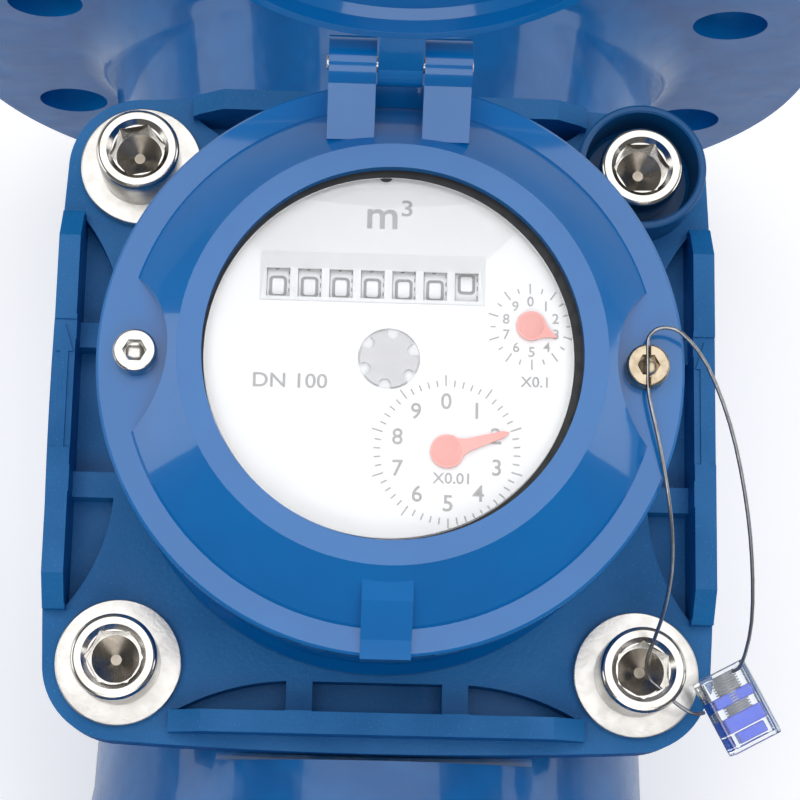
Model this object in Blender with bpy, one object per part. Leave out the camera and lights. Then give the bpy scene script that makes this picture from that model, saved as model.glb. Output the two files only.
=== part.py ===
"""Flanged DN 100 bulk water meter with an open register lid, a wired seal and its working insides.

Lengths are given in millimetres below and turned into metres when a mesh is made.
The origin is on the ground under the middle of the body. +Y is the flow direction, +Z is up.
"""
import math

import bmesh
import bpy
from mathutils import Matrix, Vector

MM = 0.001

# Body and its pipe flanges, outwards from the bore
FACE_TO_FACE = 250.0
BORE_R = 50.0
BARREL_WALL = 14.0
NECK_RISE = 4.0
NECK_FILLET = 11.0
FLANGE_HOLE_R = 9.0
FLANGE_HOLES = 8
FACE_TO_HOLE = 2.0
FLANGE_EDGE = 20.0
FLANGE_T = 18.0
FOOT_FLAT = 3.0
RAISED_T = 2.0
BARREL_R = BORE_R + BARREL_WALL
NECK_R = BARREL_R + NECK_RISE
RAISED_R = NECK_R + NECK_FILLET
FLANGE_PCD = 2.0 * (RAISED_R + FACE_TO_HOLE + FLANGE_HOLE_R)
FLANGE_R = FLANGE_PCD / 2.0 + FLANGE_EDGE
AXIS_Z = FLANGE_R - FOOT_FLAT

# Cover seat on the body
BORE_ROOF = 5.0
OPENING_OVER = 8.0
SEAT_RIM = 9.5
SEAT_CORNER_R = 15.0
SEAT_CLEAR = 6.5
CHAMBER_FLOOR = 22.0
SEAT_ABOVE_AXIS = BORE_R + BORE_ROOF
OPENING_R = BORE_R + OPENING_OVER
SEAT_HALF = OPENING_R + SEAT_RIM

# Cover plate
GASKET_T = 2.0
GASKET_W = 8.0
COVER_T = 10.5
BOLT_INSET = 12.5
BOLT_HALF = SEAT_HALF - BOLT_INSET
CORNER_R = 16.3
SIDE_BOW = 1.5
RIB_W = 4.8
RIB_H = 8.0
RIB_SHORT = 11.0
RIB_HALF_LEN = BOLT_HALF - RIB_SHORT
RIB_SLOPE = 7.0
RIB_SHOULDER = 3.0
FRONT_RIB_INSET = 2.2
POCKET_DEPTH = 6.0
POCKET_FLAT = 17.0
POCKET_OUT = 2.8
POCKET_INNER = BOLT_HALF + POCKET_OUT
CROSS_RIB_X = 16.6
CROSS_RIB_W = 5.6
SPIGOT_H = 8.0
SPIGOT_T = 4.0
ARROW_DEPTH = 0.5

# Cover bolts, washers and the seal cup
BOLT_R = 6.0
BOLT_LEN = 32.0
HEAD_R = 9.0
HEAD_H = 12.0
HEX_AF = 10.6
HEX_DEPTH = 7.0
WASHER_R = 13.4
WASHER_T = 2.5
CUP_R = 14.2
CUP_WALL = 1.7
CUP_H = 13.2
CUP_FLOOR = 1.4

# Sealed register can and its stepped window glass
CAN_R = 39.2
CAN_WALL = 0.8
GLASS_PLAY = 0.2
GLASS_STEP = 3.3
GLASS_T = 2.5
GLASS_RIM_T = 1.1
GLASS_RIM_R = CAN_R - GLASS_PLAY
GLASS_R = GLASS_RIM_R - GLASS_STEP

# Register housing, clamp ring and lid, outwards from the can
CAN_CLEAR = 1.7
CONE_WALL = 2.5
CONE_TOP_CHAMFER = 1.8
CONE_SPREAD = 9.2
RING_BRIM = 5.2
RING_OVERHANG = 2.6
FOOT_SPREAD = 1.2
WINDOW_CLEAR = 1.1
RING_SEAT_R = CAN_R + CAN_CLEAR
CONE_TOP_R = RING_SEAT_R + CONE_WALL
BEZEL_R = CONE_TOP_R - CONE_TOP_CHAMFER
WINDOW_R = GLASS_R + WINDOW_CLEAR
CONE_FOOT_R = CONE_TOP_R + CONE_SPREAD
RING_R = CONE_FOOT_R + RING_BRIM
HOUSING_R = RING_R - RING_OVERHANG
HOUSING_FOOT_R = HOUSING_R + FOOT_SPREAD
HOUSING_WALL = 2.4
HEAD_RING_Z = 52.5
RING_T = 4.0
BEZEL_H = 10.0
LIP_T = 2.2
SCREW_INSET = 2.6
SCREW_X = CONE_FOOT_R - SCREW_INSET
POCKET_CUT_R = 21.0
POCKET_CUT_X = CONE_TOP_R + POCKET_CUT_R
SMALL_HEAD_R = 4.25
SMALL_HEAD_H = 4.2
SMALL_HEX_AF = 4.0
SMALL_SHANK_R = 2.5
LATCH_W = 9.8
PIN_R = 1.6
PIN_INSET = 0.8
PIN_Y = RING_R - PIN_INSET
PIN_ABOVE_RING = 12.4
EAR_IN = 4.7
EAR_OUT = 14.0
EAR_R = 5.4
LID_OVERHANG = 2.6
LID_R = CONE_TOP_R + LID_OVERHANG
LID_WALL = 2.2
LID_DEPTH = 7.0
LID_TAB_HALF = 4.6
LID_OPEN_DEG = 105.0

# Register, a little off the housing's middle as in the photo
REG_X = -0.7
REG_Y = -0.6
DIAL_T = 1.0
DRUM_R = 6.2
DRUM_W = 5.5
DRUM_PITCH = 6.1
DRUMS = 7
DRUM_Y = 14.85
DRUM_LAST_X = 14.8
SHAFT_R = 1.5
ARBOR_R = 0.8
STAR_R = 6.2
TENTH_XY = (27.4, 7.2)
TENTH_TIP = 5.5
TENTH_DISC_R = 2.9
TENTH_ANGLE = -23.5
HUNDREDTH_XY = (11.5, -18.0)
HUNDREDTH_TIP = 12.5
HUNDREDTH_DISC_R = 3.25
HUNDREDTH_ANGLE = 18.5

# Turbine insert
TUBE_CLEAR = 2.5
TUBE_R = BORE_R - TUBE_CLEAR
TUBE_WALL = 2.5
TUBE_HALF = 31.0
ROTOR_CLEAR = 1.4
ROTOR_R = TUBE_R - TUBE_WALL - ROTOR_CLEAR
ROTOR_HUB_R = 13.0
ROTOR_HALF = 17.0
BLADES = 6
BLADE_T = 2.0
BLADE_TWIST = 48.0
BLADE_SUNK = 1.5
BLADE_INSET = 0.5
BLADE_TAPER = 0.3
BLADE_STEPS = 4
BLADE_SPANS = 3
AXLE_R = 1.5
SPIDER_RIM = 1.6

# Running and fitting clearances
GAP = 0.3
RUN = 0.06

# Heights that follow from the sizes above
SEAT_Z = AXIS_Z + SEAT_ABOVE_AXIS
COVER_Z0 = SEAT_Z + GASKET_T
COVER_Z = COVER_Z0 + COVER_T
RING_Z = COVER_Z + HEAD_RING_Z
RING_Z0 = RING_Z - RING_T
BEZEL_Z = RING_Z + BEZEL_H
GLASS_Z = BEZEL_Z - 1.5
GLASS_Z0 = GLASS_Z - GLASS_T
DIAL_Z = GLASS_Z0 - 1.6
PIN_Z = RING_Z + PIN_ABOVE_RING

BLUE = (0.010, 0.105, 0.330)
BLUE_DARK = (0.008, 0.080, 0.260)
STEEL = (0.66, 0.65, 0.62)
WHITE = (0.86, 0.87, 0.88)
GREY = (0.42, 0.43, 0.44)
BLACK = (0.012, 0.012, 0.013)
RED = (0.78, 0.13, 0.10)


def clear_scene():
    """Removes what a new Blender file holds."""
    for obj in list(bpy.data.objects):
        bpy.data.objects.remove(obj, do_unlink=True)


def material(name, colour, roughness, metallic=0.0, alpha=1.0):
    """Returns a Principled material of its own for one object."""
    mat = bpy.data.materials.new(name)
    mat.use_nodes = True
    bsdf = mat.node_tree.nodes["Principled BSDF"]
    bsdf.inputs["Base Color"].default_value = (*colour, 1.0)
    bsdf.inputs["Roughness"].default_value = roughness
    bsdf.inputs["Metallic"].default_value = metallic
    bsdf.inputs["Alpha"].default_value = alpha
    mat.diffuse_color = (*colour, alpha)
    return mat


def face_out(bm):
    """Makes every face of a closed body look outwards, twisted ones too."""
    bmesh.ops.recalc_face_normals(bm, faces=bm.faces)
    if bm.calc_volume(signed=True) < 0.0:
        bmesh.ops.reverse_faces(bm, faces=bm.faces)


def make_object(name, bm, origin=(0.0, 0.0, 0.0)):
    """Turns a bmesh in millimetres into an object in metres whose origin is the given point."""
    bmesh.ops.translate(bm, verts=bm.verts, vec=-Vector(origin))
    bmesh.ops.scale(bm, verts=bm.verts, vec=(MM, MM, MM))
    face_out(bm)
    mesh = bpy.data.meshes.new(name)
    bm.to_mesh(mesh)
    bm.free()
    obj = bpy.data.objects.new(name, mesh)
    obj.location = Vector(origin) * MM
    bpy.context.scene.collection.objects.link(obj)
    return obj


def revolve(profile, segments, axis="Z", centre=(0.0, 0.0, 0.0), phase=0.0):
    """Revolves (radius, height) points into a closed body; the profile is a closed loop."""
    bm = bmesh.new()
    rings = []
    for r, h in profile:
        if r < 1e-6:
            rings.append([bm.verts.new((0.0, 0.0, h))])
            continue
        ring = []
        for i in range(segments):
            a = 2.0 * math.pi * (i + phase) / segments
            ring.append(bm.verts.new((r * math.cos(a), r * math.sin(a), h)))
        rings.append(ring)
    count = len(rings)
    for k in range(count):
        lower = rings[k]
        upper = rings[(k + 1) % count]
        if len(lower) == 1 and len(upper) == 1:
            continue
        for i in range(segments):
            j = (i + 1) % segments
            if len(lower) == 1:
                bm.faces.new((lower[0], upper[j], upper[i]))
            elif len(upper) == 1:
                bm.faces.new((lower[i], lower[j], upper[0]))
            else:
                bm.faces.new((lower[i], lower[j], upper[j], upper[i]))
    if axis == "Y":
        bmesh.ops.transform(bm, matrix=Matrix.Rotation(-math.pi / 2.0, 4, "X"), verts=bm.verts)
    elif axis == "X":
        bmesh.ops.transform(bm, matrix=Matrix.Rotation(math.pi / 2.0, 4, "Y"), verts=bm.verts)
    bmesh.ops.translate(bm, verts=bm.verts, vec=centre)
    return bm


def cylinder(radius, h0, h1, segments, axis="Z", centre=(0.0, 0.0, 0.0), phase=0.0):
    """Returns a plain cylinder between two heights along its axis."""
    return revolve([(0.0, h0), (radius, h0), (radius, h1), (0.0, h1)], segments, axis, centre, phase)


def hole(radius, h0, h1, segments, axis="Z", centre=(0.0, 0.0, 0.0), phase=0.0):
    """Returns a cutter whose flats, not its corners, lie on the radius."""
    return cylinder(radius / math.cos(math.pi / segments), h0, h1, segments, axis, centre, phase)


def prism(outline, h0, h1):
    """Extrudes a plan outline between two heights."""
    return loft([[(x, y, h0) for x, y in outline], [(x, y, h1) for x, y in outline]])


def loft(sections):
    """Joins closed sections of equal length, with flat ends."""
    bm = bmesh.new()
    rings = [[bm.verts.new(p) for p in section] for section in sections]
    count = len(rings[0])
    for lower, upper in zip(rings, rings[1:]):
        for i in range(count):
            j = (i + 1) % count
            bm.faces.new((lower[i], lower[j], upper[j], upper[i]))
    bm.faces.new(list(reversed(rings[0])))
    bm.faces.new(rings[-1])
    return bm


def box(x0, x1, y0, y1, z0, z1):
    """Returns a box between two corners."""
    return prism([(x0, y0), (x1, y0), (x1, y1), (x0, y1)], z0, z1)


def side_prism(outline, x0, x1):
    """Extrudes a (y, z) outline along X."""
    return loft([[(x0, y, z) for y, z in outline], [(x1, y, z) for y, z in outline]])


def hexagon(across_flats, h0, h1, centre, turn=0.0):
    """Returns a hexagonal prism, its corners turned by the given angle."""
    radius = across_flats / math.sqrt(3.0)
    x, y = centre
    outline = []
    for i in range(6):
        a = math.radians(60.0 * i + turn)
        outline.append((x + radius * math.cos(a), y + radius * math.sin(a)))
    return prism(outline, h0, h1)


def combine(bm, others, operation):
    """Applies an exact Boolean of several bodies to a bmesh and returns the new bmesh."""
    base = bpy.data.meshes.new("base")
    face_out(bm)
    bm.to_mesh(base)
    bm.free()
    host = bpy.data.objects.new("host", base)
    bpy.context.scene.collection.objects.link(host)
    tools = []
    for other in others:
        face_out(other)
        mesh = bpy.data.meshes.new("tool")
        other.to_mesh(mesh)
        other.free()
        tool = bpy.data.objects.new("tool", mesh)
        bpy.context.scene.collection.objects.link(tool)
        mod = host.modifiers.new("cut", "BOOLEAN")
        mod.operation = operation
        mod.solver = "EXACT"
        mod.object = tool
        tools.append(tool)
    graph = bpy.context.evaluated_depsgraph_get()
    result = bmesh.new()
    result.from_mesh(host.evaluated_get(graph).to_mesh())
    for obj in [host] + tools:
        bpy.data.objects.remove(obj, do_unlink=True)
    bmesh.ops.remove_doubles(result, verts=result.verts, dist=0.0005)
    bmesh.ops.dissolve_degenerate(result, edges=result.edges, dist=0.0005)
    return result


def cut(bm, *others):
    """Takes bodies out of a bmesh."""
    return combine(bm, list(others), "DIFFERENCE")


def fuse(bm, *others):
    """Adds bodies to a bmesh."""
    return combine(bm, list(others), "UNION")


def rounded_square(half, corner_r, bow=0.0, per_corner=6, per_side=4):
    """Returns the outline of a square with round corners and slightly bowed sides."""
    points = []
    centre = half - corner_r
    for k in range(4):
        start = math.pi / 2.0 * k
        cx = centre if k in (0, 3) else -centre
        cy = centre if k in (0, 1) else -centre
        for i in range(per_corner + 1):
            a = start + math.pi / 2.0 * i / per_corner
            points.append((cx + corner_r * math.cos(a), cy + corner_r * math.sin(a)))
        end = start + math.pi / 2.0
        nx, ny = math.cos(end), math.sin(end)
        for i in range(1, per_side):
            t = 2.0 * i / per_side - 1.0
            side = centre * t
            out = half + bow * (1.0 - t * t)
            points.append((out * nx - side * ny, out * ny + side * nx))
    return points


def body():
    """Cast body: barrel, flanges, chamber and cover seat."""
    half = FACE_TO_FACE / 2.0
    inner = half - FLANGE_T
    side = [(0.0, half), (RAISED_R, half), (RAISED_R + 0.6, half - RAISED_T)]
    side += [(FLANGE_R - 1.0, half - RAISED_T), (FLANGE_R, half - RAISED_T - 1.0)]
    side += [(FLANGE_R, inner + 1.0), (FLANGE_R - 1.0, inner)]
    for i in range(5):
        a = math.radians(90.0 * i / 4.0)
        side.append((NECK_R + NECK_FILLET * (1.0 - math.sin(a)), inner - NECK_FILLET * (1.0 - math.cos(a))))
    side += [(BARREL_R + 1.0, inner - NECK_FILLET - 18.0), (BARREL_R, 52.0)]
    profile = side + [(r, -y) for r, y in reversed(side)]
    bm = revolve(profile, 36, "Y", (0.0, 0.0, AXIS_Z), 0.5)
    levels = ((SEAT_ABOVE_AXIS + 3.0, 0.0, 0.0), (24.0, 0.0, 0.0), (6.0, 1.0, 14.0),
              (-20.0, 7.0, 30.0), (-42.0, 22.0, 28.0), (-54.0, 36.0, 20.0))
    sections = []
    for dz, shrink, rounder in levels:
        corner = min(SEAT_CORNER_R + rounder, SEAT_HALF - shrink - 2.0)
        outline = rounded_square(SEAT_HALF - shrink, corner, 0.0, 4, 2)
        sections.append([(x, y, AXIS_Z + dz) for x, y in outline])
    bm = fuse(bm, loft(list(reversed(sections))))
    clearing = SEAT_HALF + SEAT_CLEAR
    bore = cylinder(BORE_R, -half - 5.0, half + 5.0, 36, "Y", (0.0, 0.0, AXIS_Z), 0.5)
    cone = [(0.0, AXIS_Z - CHAMBER_FLOOR), (BORE_R - 4.0, AXIS_Z - CHAMBER_FLOOR), (OPENING_R, AXIS_Z)]
    cone += [(OPENING_R, SEAT_Z + 5.0), (0.0, SEAT_Z + 5.0)]
    bm = cut(bm, fuse(bore, revolve(cone, 36, "Z", (0.0, 0.0, 0.0), 0.5)))
    clearing = rounded_square(clearing, SEAT_CORNER_R + SEAT_CLEAR, 0.0, 4, 2)
    cuts = [prism(clearing, SEAT_Z, SEAT_Z + BARREL_R)]
    for i in range(FLANGE_HOLES):
        a = 2.0 * math.pi * (i + 0.5) / FLANGE_HOLES
        x = FLANGE_PCD / 2.0 * math.sin(a)
        z = AXIS_Z + FLANGE_PCD / 2.0 * math.cos(a)
        for s in (-1.0, 1.0):
            mid = s * (half - FLANGE_T / 2.0)
            cuts.append(hole(FLANGE_HOLE_R, -FLANGE_T, FLANGE_T, 14, "Y", (x, mid, z)))
    for sx in (-1.0, 1.0):
        for sy in (-1.0, 1.0):
            bottom = COVER_Z - BOLT_LEN - 2.0
            spot = (sx * BOLT_HALF, sy * BOLT_HALF, 0.0)
            cuts.append(hole(BOLT_R + RUN, bottom, SEAT_Z + 5.0, 10, "Z", spot))
    cuts.append(box(-FLANGE_R, FLANGE_R, -half - 5.0, half + 5.0, -FLANGE_EDGE, 0.0))
    return make_object("meter_body", cut(bm, *cuts), (0.0, 0.0, AXIS_Z))


def gasket():
    """Flat seal between the seat and the cover."""
    z0 = SEAT_Z + 0.02
    z1 = COVER_Z0 - 0.02
    inner = OPENING_R + GAP
    outer = OPENING_R + GASKET_W
    bm = revolve([(inner, z0), (outer, z0), (outer, z1), (inner, z1)], 40)
    return make_object("cover_gasket", bm, (0.0, 0.0, z0))


def side_rib(inner, outer, z0):
    """Raised rib along +X with sloping ends, as a body over the plate."""
    top = COVER_Z + RIB_H
    ends = RIB_HALF_LEN
    flat = RIB_HALF_LEN - RIB_SLOPE
    shoulder = COVER_Z + RIB_SHOULDER
    outline = [(-ends, z0), (ends, z0), (ends, shoulder), (flat, top), (-flat, top), (-ends, shoulder)]
    return side_prism(outline, inner, outer)


def turned(bm, degrees):
    """Turns a body about the vertical axis."""
    bmesh.ops.transform(bm, matrix=Matrix.Rotation(math.radians(degrees), 4, "Z"), verts=bm.verts)
    return bm


def rib_pocket(rib_inner):
    """Recess between the rib on +X and the middle of the cover, cut in three by two cross ribs."""
    pieces = []
    ends = RIB_HALF_LEN - 1.0
    depth_x = rib_inner - POCKET_INNER
    run = ends - POCKET_FLAT
    radius = (run * run + depth_x * depth_x) / (2.0 * depth_x)
    z0 = COVER_Z - POCKET_DEPTH
    z1 = COVER_Z + RIB_H + 2.0
    cross_in = CROSS_RIB_X - CROSS_RIB_W / 2.0
    cross_out = CROSS_RIB_X + CROSS_RIB_W / 2.0
    pieces.append(box(POCKET_INNER, rib_inner, -cross_in, cross_in, z0, z1))
    for s in (-1.0, 1.0):
        points = []
        for i in range(9):
            y = cross_out + (ends - cross_out) * i / 8.0
            over = max(0.0, y - POCKET_FLAT)
            x = POCKET_INNER + radius - math.sqrt(radius * radius - over * over)
            points.append((min(x, rib_inner), s * y))
        points.append((rib_inner, s * cross_out))
        pieces.append(prism(points, z0, z1))
    return pieces


def cover():
    """Square cover plate with ribs, pockets, arrows, bolt holes and the magnet dome."""
    half = BOLT_HALF + CORNER_R
    outline = rounded_square(half, CORNER_R, SIDE_BOW)
    bm = prism(outline, COVER_Z0, COVER_Z)
    dome = [(0.0, COVER_Z - 3.0), (16.0, COVER_Z - 3.0), (14.0, COVER_Z + 6.5), (0.0, COVER_Z + 6.5)]
    spigot_r = OPENING_R - GAP
    spigot = [(spigot_r - SPIGOT_T, COVER_Z0 - SPIGOT_H), (spigot_r, COVER_Z0 - SPIGOT_H)]
    spigot += [(spigot_r, COVER_Z0 + 2.0), (spigot_r - SPIGOT_T, COVER_Z0 + 2.0)]
    adds = [revolve(dome, 24), revolve(spigot, 36)]
    cuts = []
    for k, turn in enumerate((0.0, 90.0, 180.0, 270.0)):
        outer = half + SIDE_BOW * 0.2
        if k == 3:
            outer -= FRONT_RIB_INSET
        inner = outer - RIB_W
        adds.append(turned(side_rib(inner, outer, COVER_Z - 4.0), turn))
        cuts += [turned(piece, turn) for piece in rib_pocket(inner + 0.15)]
        if k in (0, 2):
            sign = 1.0 if k == 0 else -1.0
            cuts += [turned(piece, turn) for piece in arrow_recess(inner, outer, sign)]
    bm = fuse(bm, *adds)
    cuts.append(hole(9.6, COVER_Z0 - 20.0, COVER_Z + 4.7, 24))
    for sx in (-1.0, 1.0):
        for sy in (-1.0, 1.0):
            x, y = sx * BOLT_HALF, sy * BOLT_HALF
            cuts.append(hole(BOLT_R + 0.6, COVER_Z0 - 5.0, COVER_Z + 5.0, 12, "Z", (x, y, 0.0)))
    return make_object("cover_plate", cut(bm, *cuts), (0.0, 0.0, COVER_Z0))


def arrow_recess(inner, outer, sign):
    """Leaves a flow arrow standing on a rib's top by lowering thin strips beside it."""
    z0 = COVER_Z + RIB_H - ARROW_DEPTH
    z1 = COVER_Z + RIB_H + 4.0
    mid = (inner + outer) / 2.0
    tip = sign * 17.0
    base = sign * 11.0
    tail = sign * -10.0
    pieces = []
    for s in (-1.0, 1.0):
        edge = mid + s * (RIB_W / 2.0 + 1.0)
        past = tip + sign * 1.2
        points = [(mid + s * 0.9, tail), (edge, tail), (edge, past), (mid - s * 0.2, past), (mid, tip)]
        points += [(mid + s * 1.9, base), (mid + s * 0.9, base)]
        pieces.append(prism(points, z0, z1))
    return pieces


def cap_bolt(name, x, y, seat_z, hex_turn, drilled=False):
    """Socket cap bolt with a shank of full diameter."""
    top = seat_z + HEAD_H
    low = seat_z - BOLT_LEN
    profile = [(0.0, low), (BOLT_R - 1.0, low), (BOLT_R - RUN, low + 1.0), (BOLT_R - RUN, seat_z)]
    profile += [(HEAD_R - 0.3, seat_z), (HEAD_R, seat_z + 0.3), (HEAD_R, top - 1.0)]
    profile += [(HEAD_R - 1.0, top), (0.0, top)]
    bm = revolve(profile, 20, "Z", (x, y, 0.0))
    flare = HEX_AF / math.sqrt(3.0) + 0.9
    cone = [(0.0, top - 1.6), (flare - 1.6, top - 1.6), (flare, top), (flare, top + 1.0), (0.0, top + 1.0)]
    socket = hexagon(HEX_AF, top - HEX_DEPTH, top + 3.0, (x, y), hex_turn)
    cuts = [socket, revolve(cone, 16, "Z", (x, y, 0.0))]
    if drilled:
        cuts.append(bolt_drilling(x, y, top))
    return make_object(name, cut(bm, *cuts), (x, y, seat_z))


def bolt_drilling(x, y, top):
    """Hole for the seal wire through the head's right front wall."""
    drill = hole(1.0, 0.0, 14.0, 12)
    direction = Vector((0.74, -0.67, 0.0)).normalized()
    turn = Vector((0.0, 0.0, 1.0)).rotation_difference(direction).to_matrix().to_4x4()
    place = Matrix.Translation((x, y, top - 4.0)) @ turn
    bmesh.ops.transform(drill, matrix=place, verts=drill.verts)
    return drill


def washer(name, x, y):
    """Plain washer under a cover bolt."""
    z0 = COVER_Z + 0.01
    z1 = COVER_Z + WASHER_T
    inner = BOLT_R + 0.5
    profile = [(inner, z0), (WASHER_R, z0), (WASHER_R, z1 - 0.3), (WASHER_R - 0.3, z1), (inner, z1)]
    return make_object(name, revolve(profile, 24, "Z", (x, y, 0.0)), (x, y, z0))


def seal_cup(x, y):
    """Round cup that stands round the rear right bolt for a tamper seal."""
    z0 = COVER_Z + 0.01
    inner = CUP_R - CUP_WALL
    bore = BOLT_R + 0.4
    floor = z0 + CUP_FLOOR
    top = z0 + CUP_H
    profile = [(bore, z0), (CUP_R - 0.6, z0), (CUP_R, top - 0.5), (CUP_R - 0.5, top)]
    profile += [(inner, top), (inner - 0.4, floor), (bore, floor)]
    return make_object("seal_cup", revolve(profile, 28, "Z", (x, y, 0.0)), (x, y, z0))


def housing():
    """Round lower housing between the cover and the clamp ring."""
    z0 = COVER_Z + 0.05
    top = RING_Z0 - 0.05
    inner = HOUSING_R - HOUSING_WALL
    floor = COVER_Z + 9.0
    profile = [(22.0, z0), (HOUSING_FOOT_R, z0), (HOUSING_FOOT_R, z0 + 3.0)]
    profile += [(HOUSING_R - 0.8, z0 + 5.5), (HOUSING_R, z0 + 24.0), (HOUSING_R + 0.8, top - 6.0)]
    profile += [(RING_R - 1.2, top - 2.0), (RING_R - 1.2, top), (inner, top), (inner, floor)]
    profile += [(17.5, floor), (17.5, floor - 1.8), (22.0, floor - 1.8)]
    bm = revolve(profile, 40)
    adds = []
    for s in (-1.0, 1.0):
        x0, x1 = sorted((s * (SCREW_X - 5.0), s * (inner + 1.0)))
        adds.append(box(x0, x1, -5.0, 5.0, top - 16.0, top - 0.001))
    bm = fuse(bm, *adds)
    cuts = []
    for s in (-1.0, 1.0):
        cuts.append(hole(SMALL_SHANK_R + RUN, top - 12.0, top + 3.0, 12, "Z", (s * SCREW_X, 0.0, 0.0)))
    return make_object("register_housing", cut(bm, *cuts), (0.0, 0.0, z0))


def clamp_ring():
    """Ring flange with its raised bezel, screw pockets, hinge ears and latch."""
    lip = BEZEL_Z - LIP_T
    seat = RING_SEAT_R
    z = RING_Z
    profile = [(seat, RING_Z0), (RING_R - 0.4, RING_Z0), (RING_R, RING_Z0 + 0.4), (RING_R, z - 0.5)]
    profile += [(RING_R - 0.5, z), (CONE_FOOT_R, z), (CONE_FOOT_R - 0.5, z + 0.8)]
    profile += [(CONE_TOP_R + 2.6, BEZEL_Z - 3.6), (CONE_TOP_R, BEZEL_Z - 1.5), (BEZEL_R, BEZEL_Z)]
    profile += [(WINDOW_R, BEZEL_Z), (WINDOW_R, lip), (seat, lip)]
    bm = revolve(profile, 48)
    pockets = []
    for s in (-1.0, 1.0):
        pockets.append(cylinder(POCKET_CUT_R, z, z + 20.0, 36, "Z", (s * POCKET_CUT_X, 0.0, 0.0)))
    bm = cut(bm, *pockets)
    half = LATCH_W / 2.0
    latch = [(-CONE_TOP_R + 0.6, z - 1.0), (-CONE_TOP_R + 0.6, BEZEL_Z - 1.9)]
    latch += [(-CONE_TOP_R - 4.5, BEZEL_Z - 3.2)]
    latch += [(-RING_R + 3.0, z + 2.2), (-RING_R - 0.6, z + 1.2), (-RING_R - 0.6, z - RING_T + 0.6)]
    latch += [(-RING_R + 2.0, z - RING_T + 0.6)]
    adds = [side_prism(latch, -half, half)]
    for x0, x1 in ((-EAR_OUT, -EAR_IN), (EAR_IN, EAR_OUT)):
        adds.append(side_prism(ear_outline(), x0, x1))
    bm = fuse(bm, *adds)
    cuts = [hole(PIN_R + RUN, -30.0, 30.0, 16, "X", (0.0, PIN_Y, PIN_Z))]
    for s in (-1.0, 1.0):
        cuts.append(hole(SMALL_SHANK_R + 0.2, RING_Z0 - 4.0, z + 4.0, 16, "Z", (s * SCREW_X, 0.0, 0.0)))
    return make_object("clamp_ring", cut(bm, *cuts), (0.0, 0.0, RING_Z0))


def ear_outline():
    """Side view of a hinge ear, in (y, z)."""
    front = BEZEL_R + 1.2
    points = [(front, RING_Z - 1.0), (front, BEZEL_Z - 1.9), (PIN_Y - EAR_R + 0.4, PIN_Z + 2.2)]
    points += [(PIN_Y + EAR_R * math.cos(math.radians(a)), PIN_Z + EAR_R * math.sin(math.radians(a)))
               for a in (140.0, 115.0, 90.0, 65.0, 40.0, 15.0, -10.0)]
    points += [(PIN_Y + 4.2, RING_Z0 + 1.0), (PIN_Y - 3.0, RING_Z0 + 1.0)]
    return points


def small_screw(name, sign, slotted=False):
    """Small socket screw that holds the clamp ring; the right one is drilled for the wire."""
    seat = RING_Z + 0.01
    top = seat + SMALL_HEAD_H
    low = RING_Z0 - 10.0
    x = sign * SCREW_X
    profile = [(0.0, low), (SMALL_SHANK_R - RUN, low), (SMALL_SHANK_R - RUN, seat), (SMALL_HEAD_R, seat)]
    profile += [(SMALL_HEAD_R, top - 0.5), (SMALL_HEAD_R - 0.5, top), (0.0, top)]
    bm = revolve(profile, 18, "Z", (x, 0.0, 0.0))
    cuts = [hexagon(SMALL_HEX_AF, top - 2.6, top + 2.0, (x, 0.0), 0.0)]
    if slotted:
        cuts.append(hole(0.8, -8.0, 8.0, 12, "Y", (x, 0.0, top - 1.55)))
    return make_object(name, cut(bm, *cuts), (x, 0.0, seat))


def hinge_pin():
    """Pin through the ears and the lid's knuckle."""
    half = EAR_OUT + 0.4
    bm = cylinder(PIN_R, -half, half, 16, "X", (0.0, PIN_Y, PIN_Z))
    return make_object("hinge_pin", bm, (0.0, PIN_Y, PIN_Z))


def lid():
    """Shallow dished lid with a knuckle, modelled shut and then opened about the pin."""
    low = BEZEL_Z + GAP
    top = low + LID_DEPTH
    inner = LID_R - LID_WALL
    profile = [(inner, low), (LID_R - 0.3, low), (LID_R, low + 0.4), (LID_R - 0.4, top - 2.4)]
    profile += [(LID_R - 2.4, top - 0.5), (LID_R * 0.55, top + 1.1), (0.0, top + 1.7)]
    profile += [(0.0, top + 1.7 - LID_WALL), (LID_R * 0.55, top + 1.1 - LID_WALL)]
    profile += [(inner - 1.6, top - LID_WALL - 0.2), (inner, top - LID_WALL - 1.8)]
    bm = revolve(profile, 40)
    half = EAR_IN - GAP
    knuckle = [(LID_R - 1.6, low + 0.6), (LID_R - 1.6, top - 1.6), (PIN_Y - 3.0, PIN_Z + 4.2)]
    knuckle += [(PIN_Y + 4.4 * math.cos(math.radians(a)), PIN_Z + 4.4 * math.sin(math.radians(a)))
                for a in (110.0, 80.0, 50.0, 20.0, -10.0, -40.0, -70.0, -100.0, -130.0)]
    tab = [(-LID_R + 1.2, low + 0.4), (-LID_R + 1.2, top - 3.0)]
    tab += [(-LID_R - 3.6, top - 4.6), (-LID_R - 4.6, low + 0.4)]
    bm = fuse(bm, side_prism(knuckle, -half, half), side_prism(tab, -LID_TAB_HALF, LID_TAB_HALF))
    bm = cut(bm, hole(PIN_R + RUN, -30.0, 30.0, 16, "X", (0.0, PIN_Y, PIN_Z)))
    obj = make_object("lid", bm, (0.0, PIN_Y, PIN_Z))
    obj.rotation_euler = (math.radians(-LID_OPEN_DEG), 0.0, 0.0)
    return obj


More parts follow.
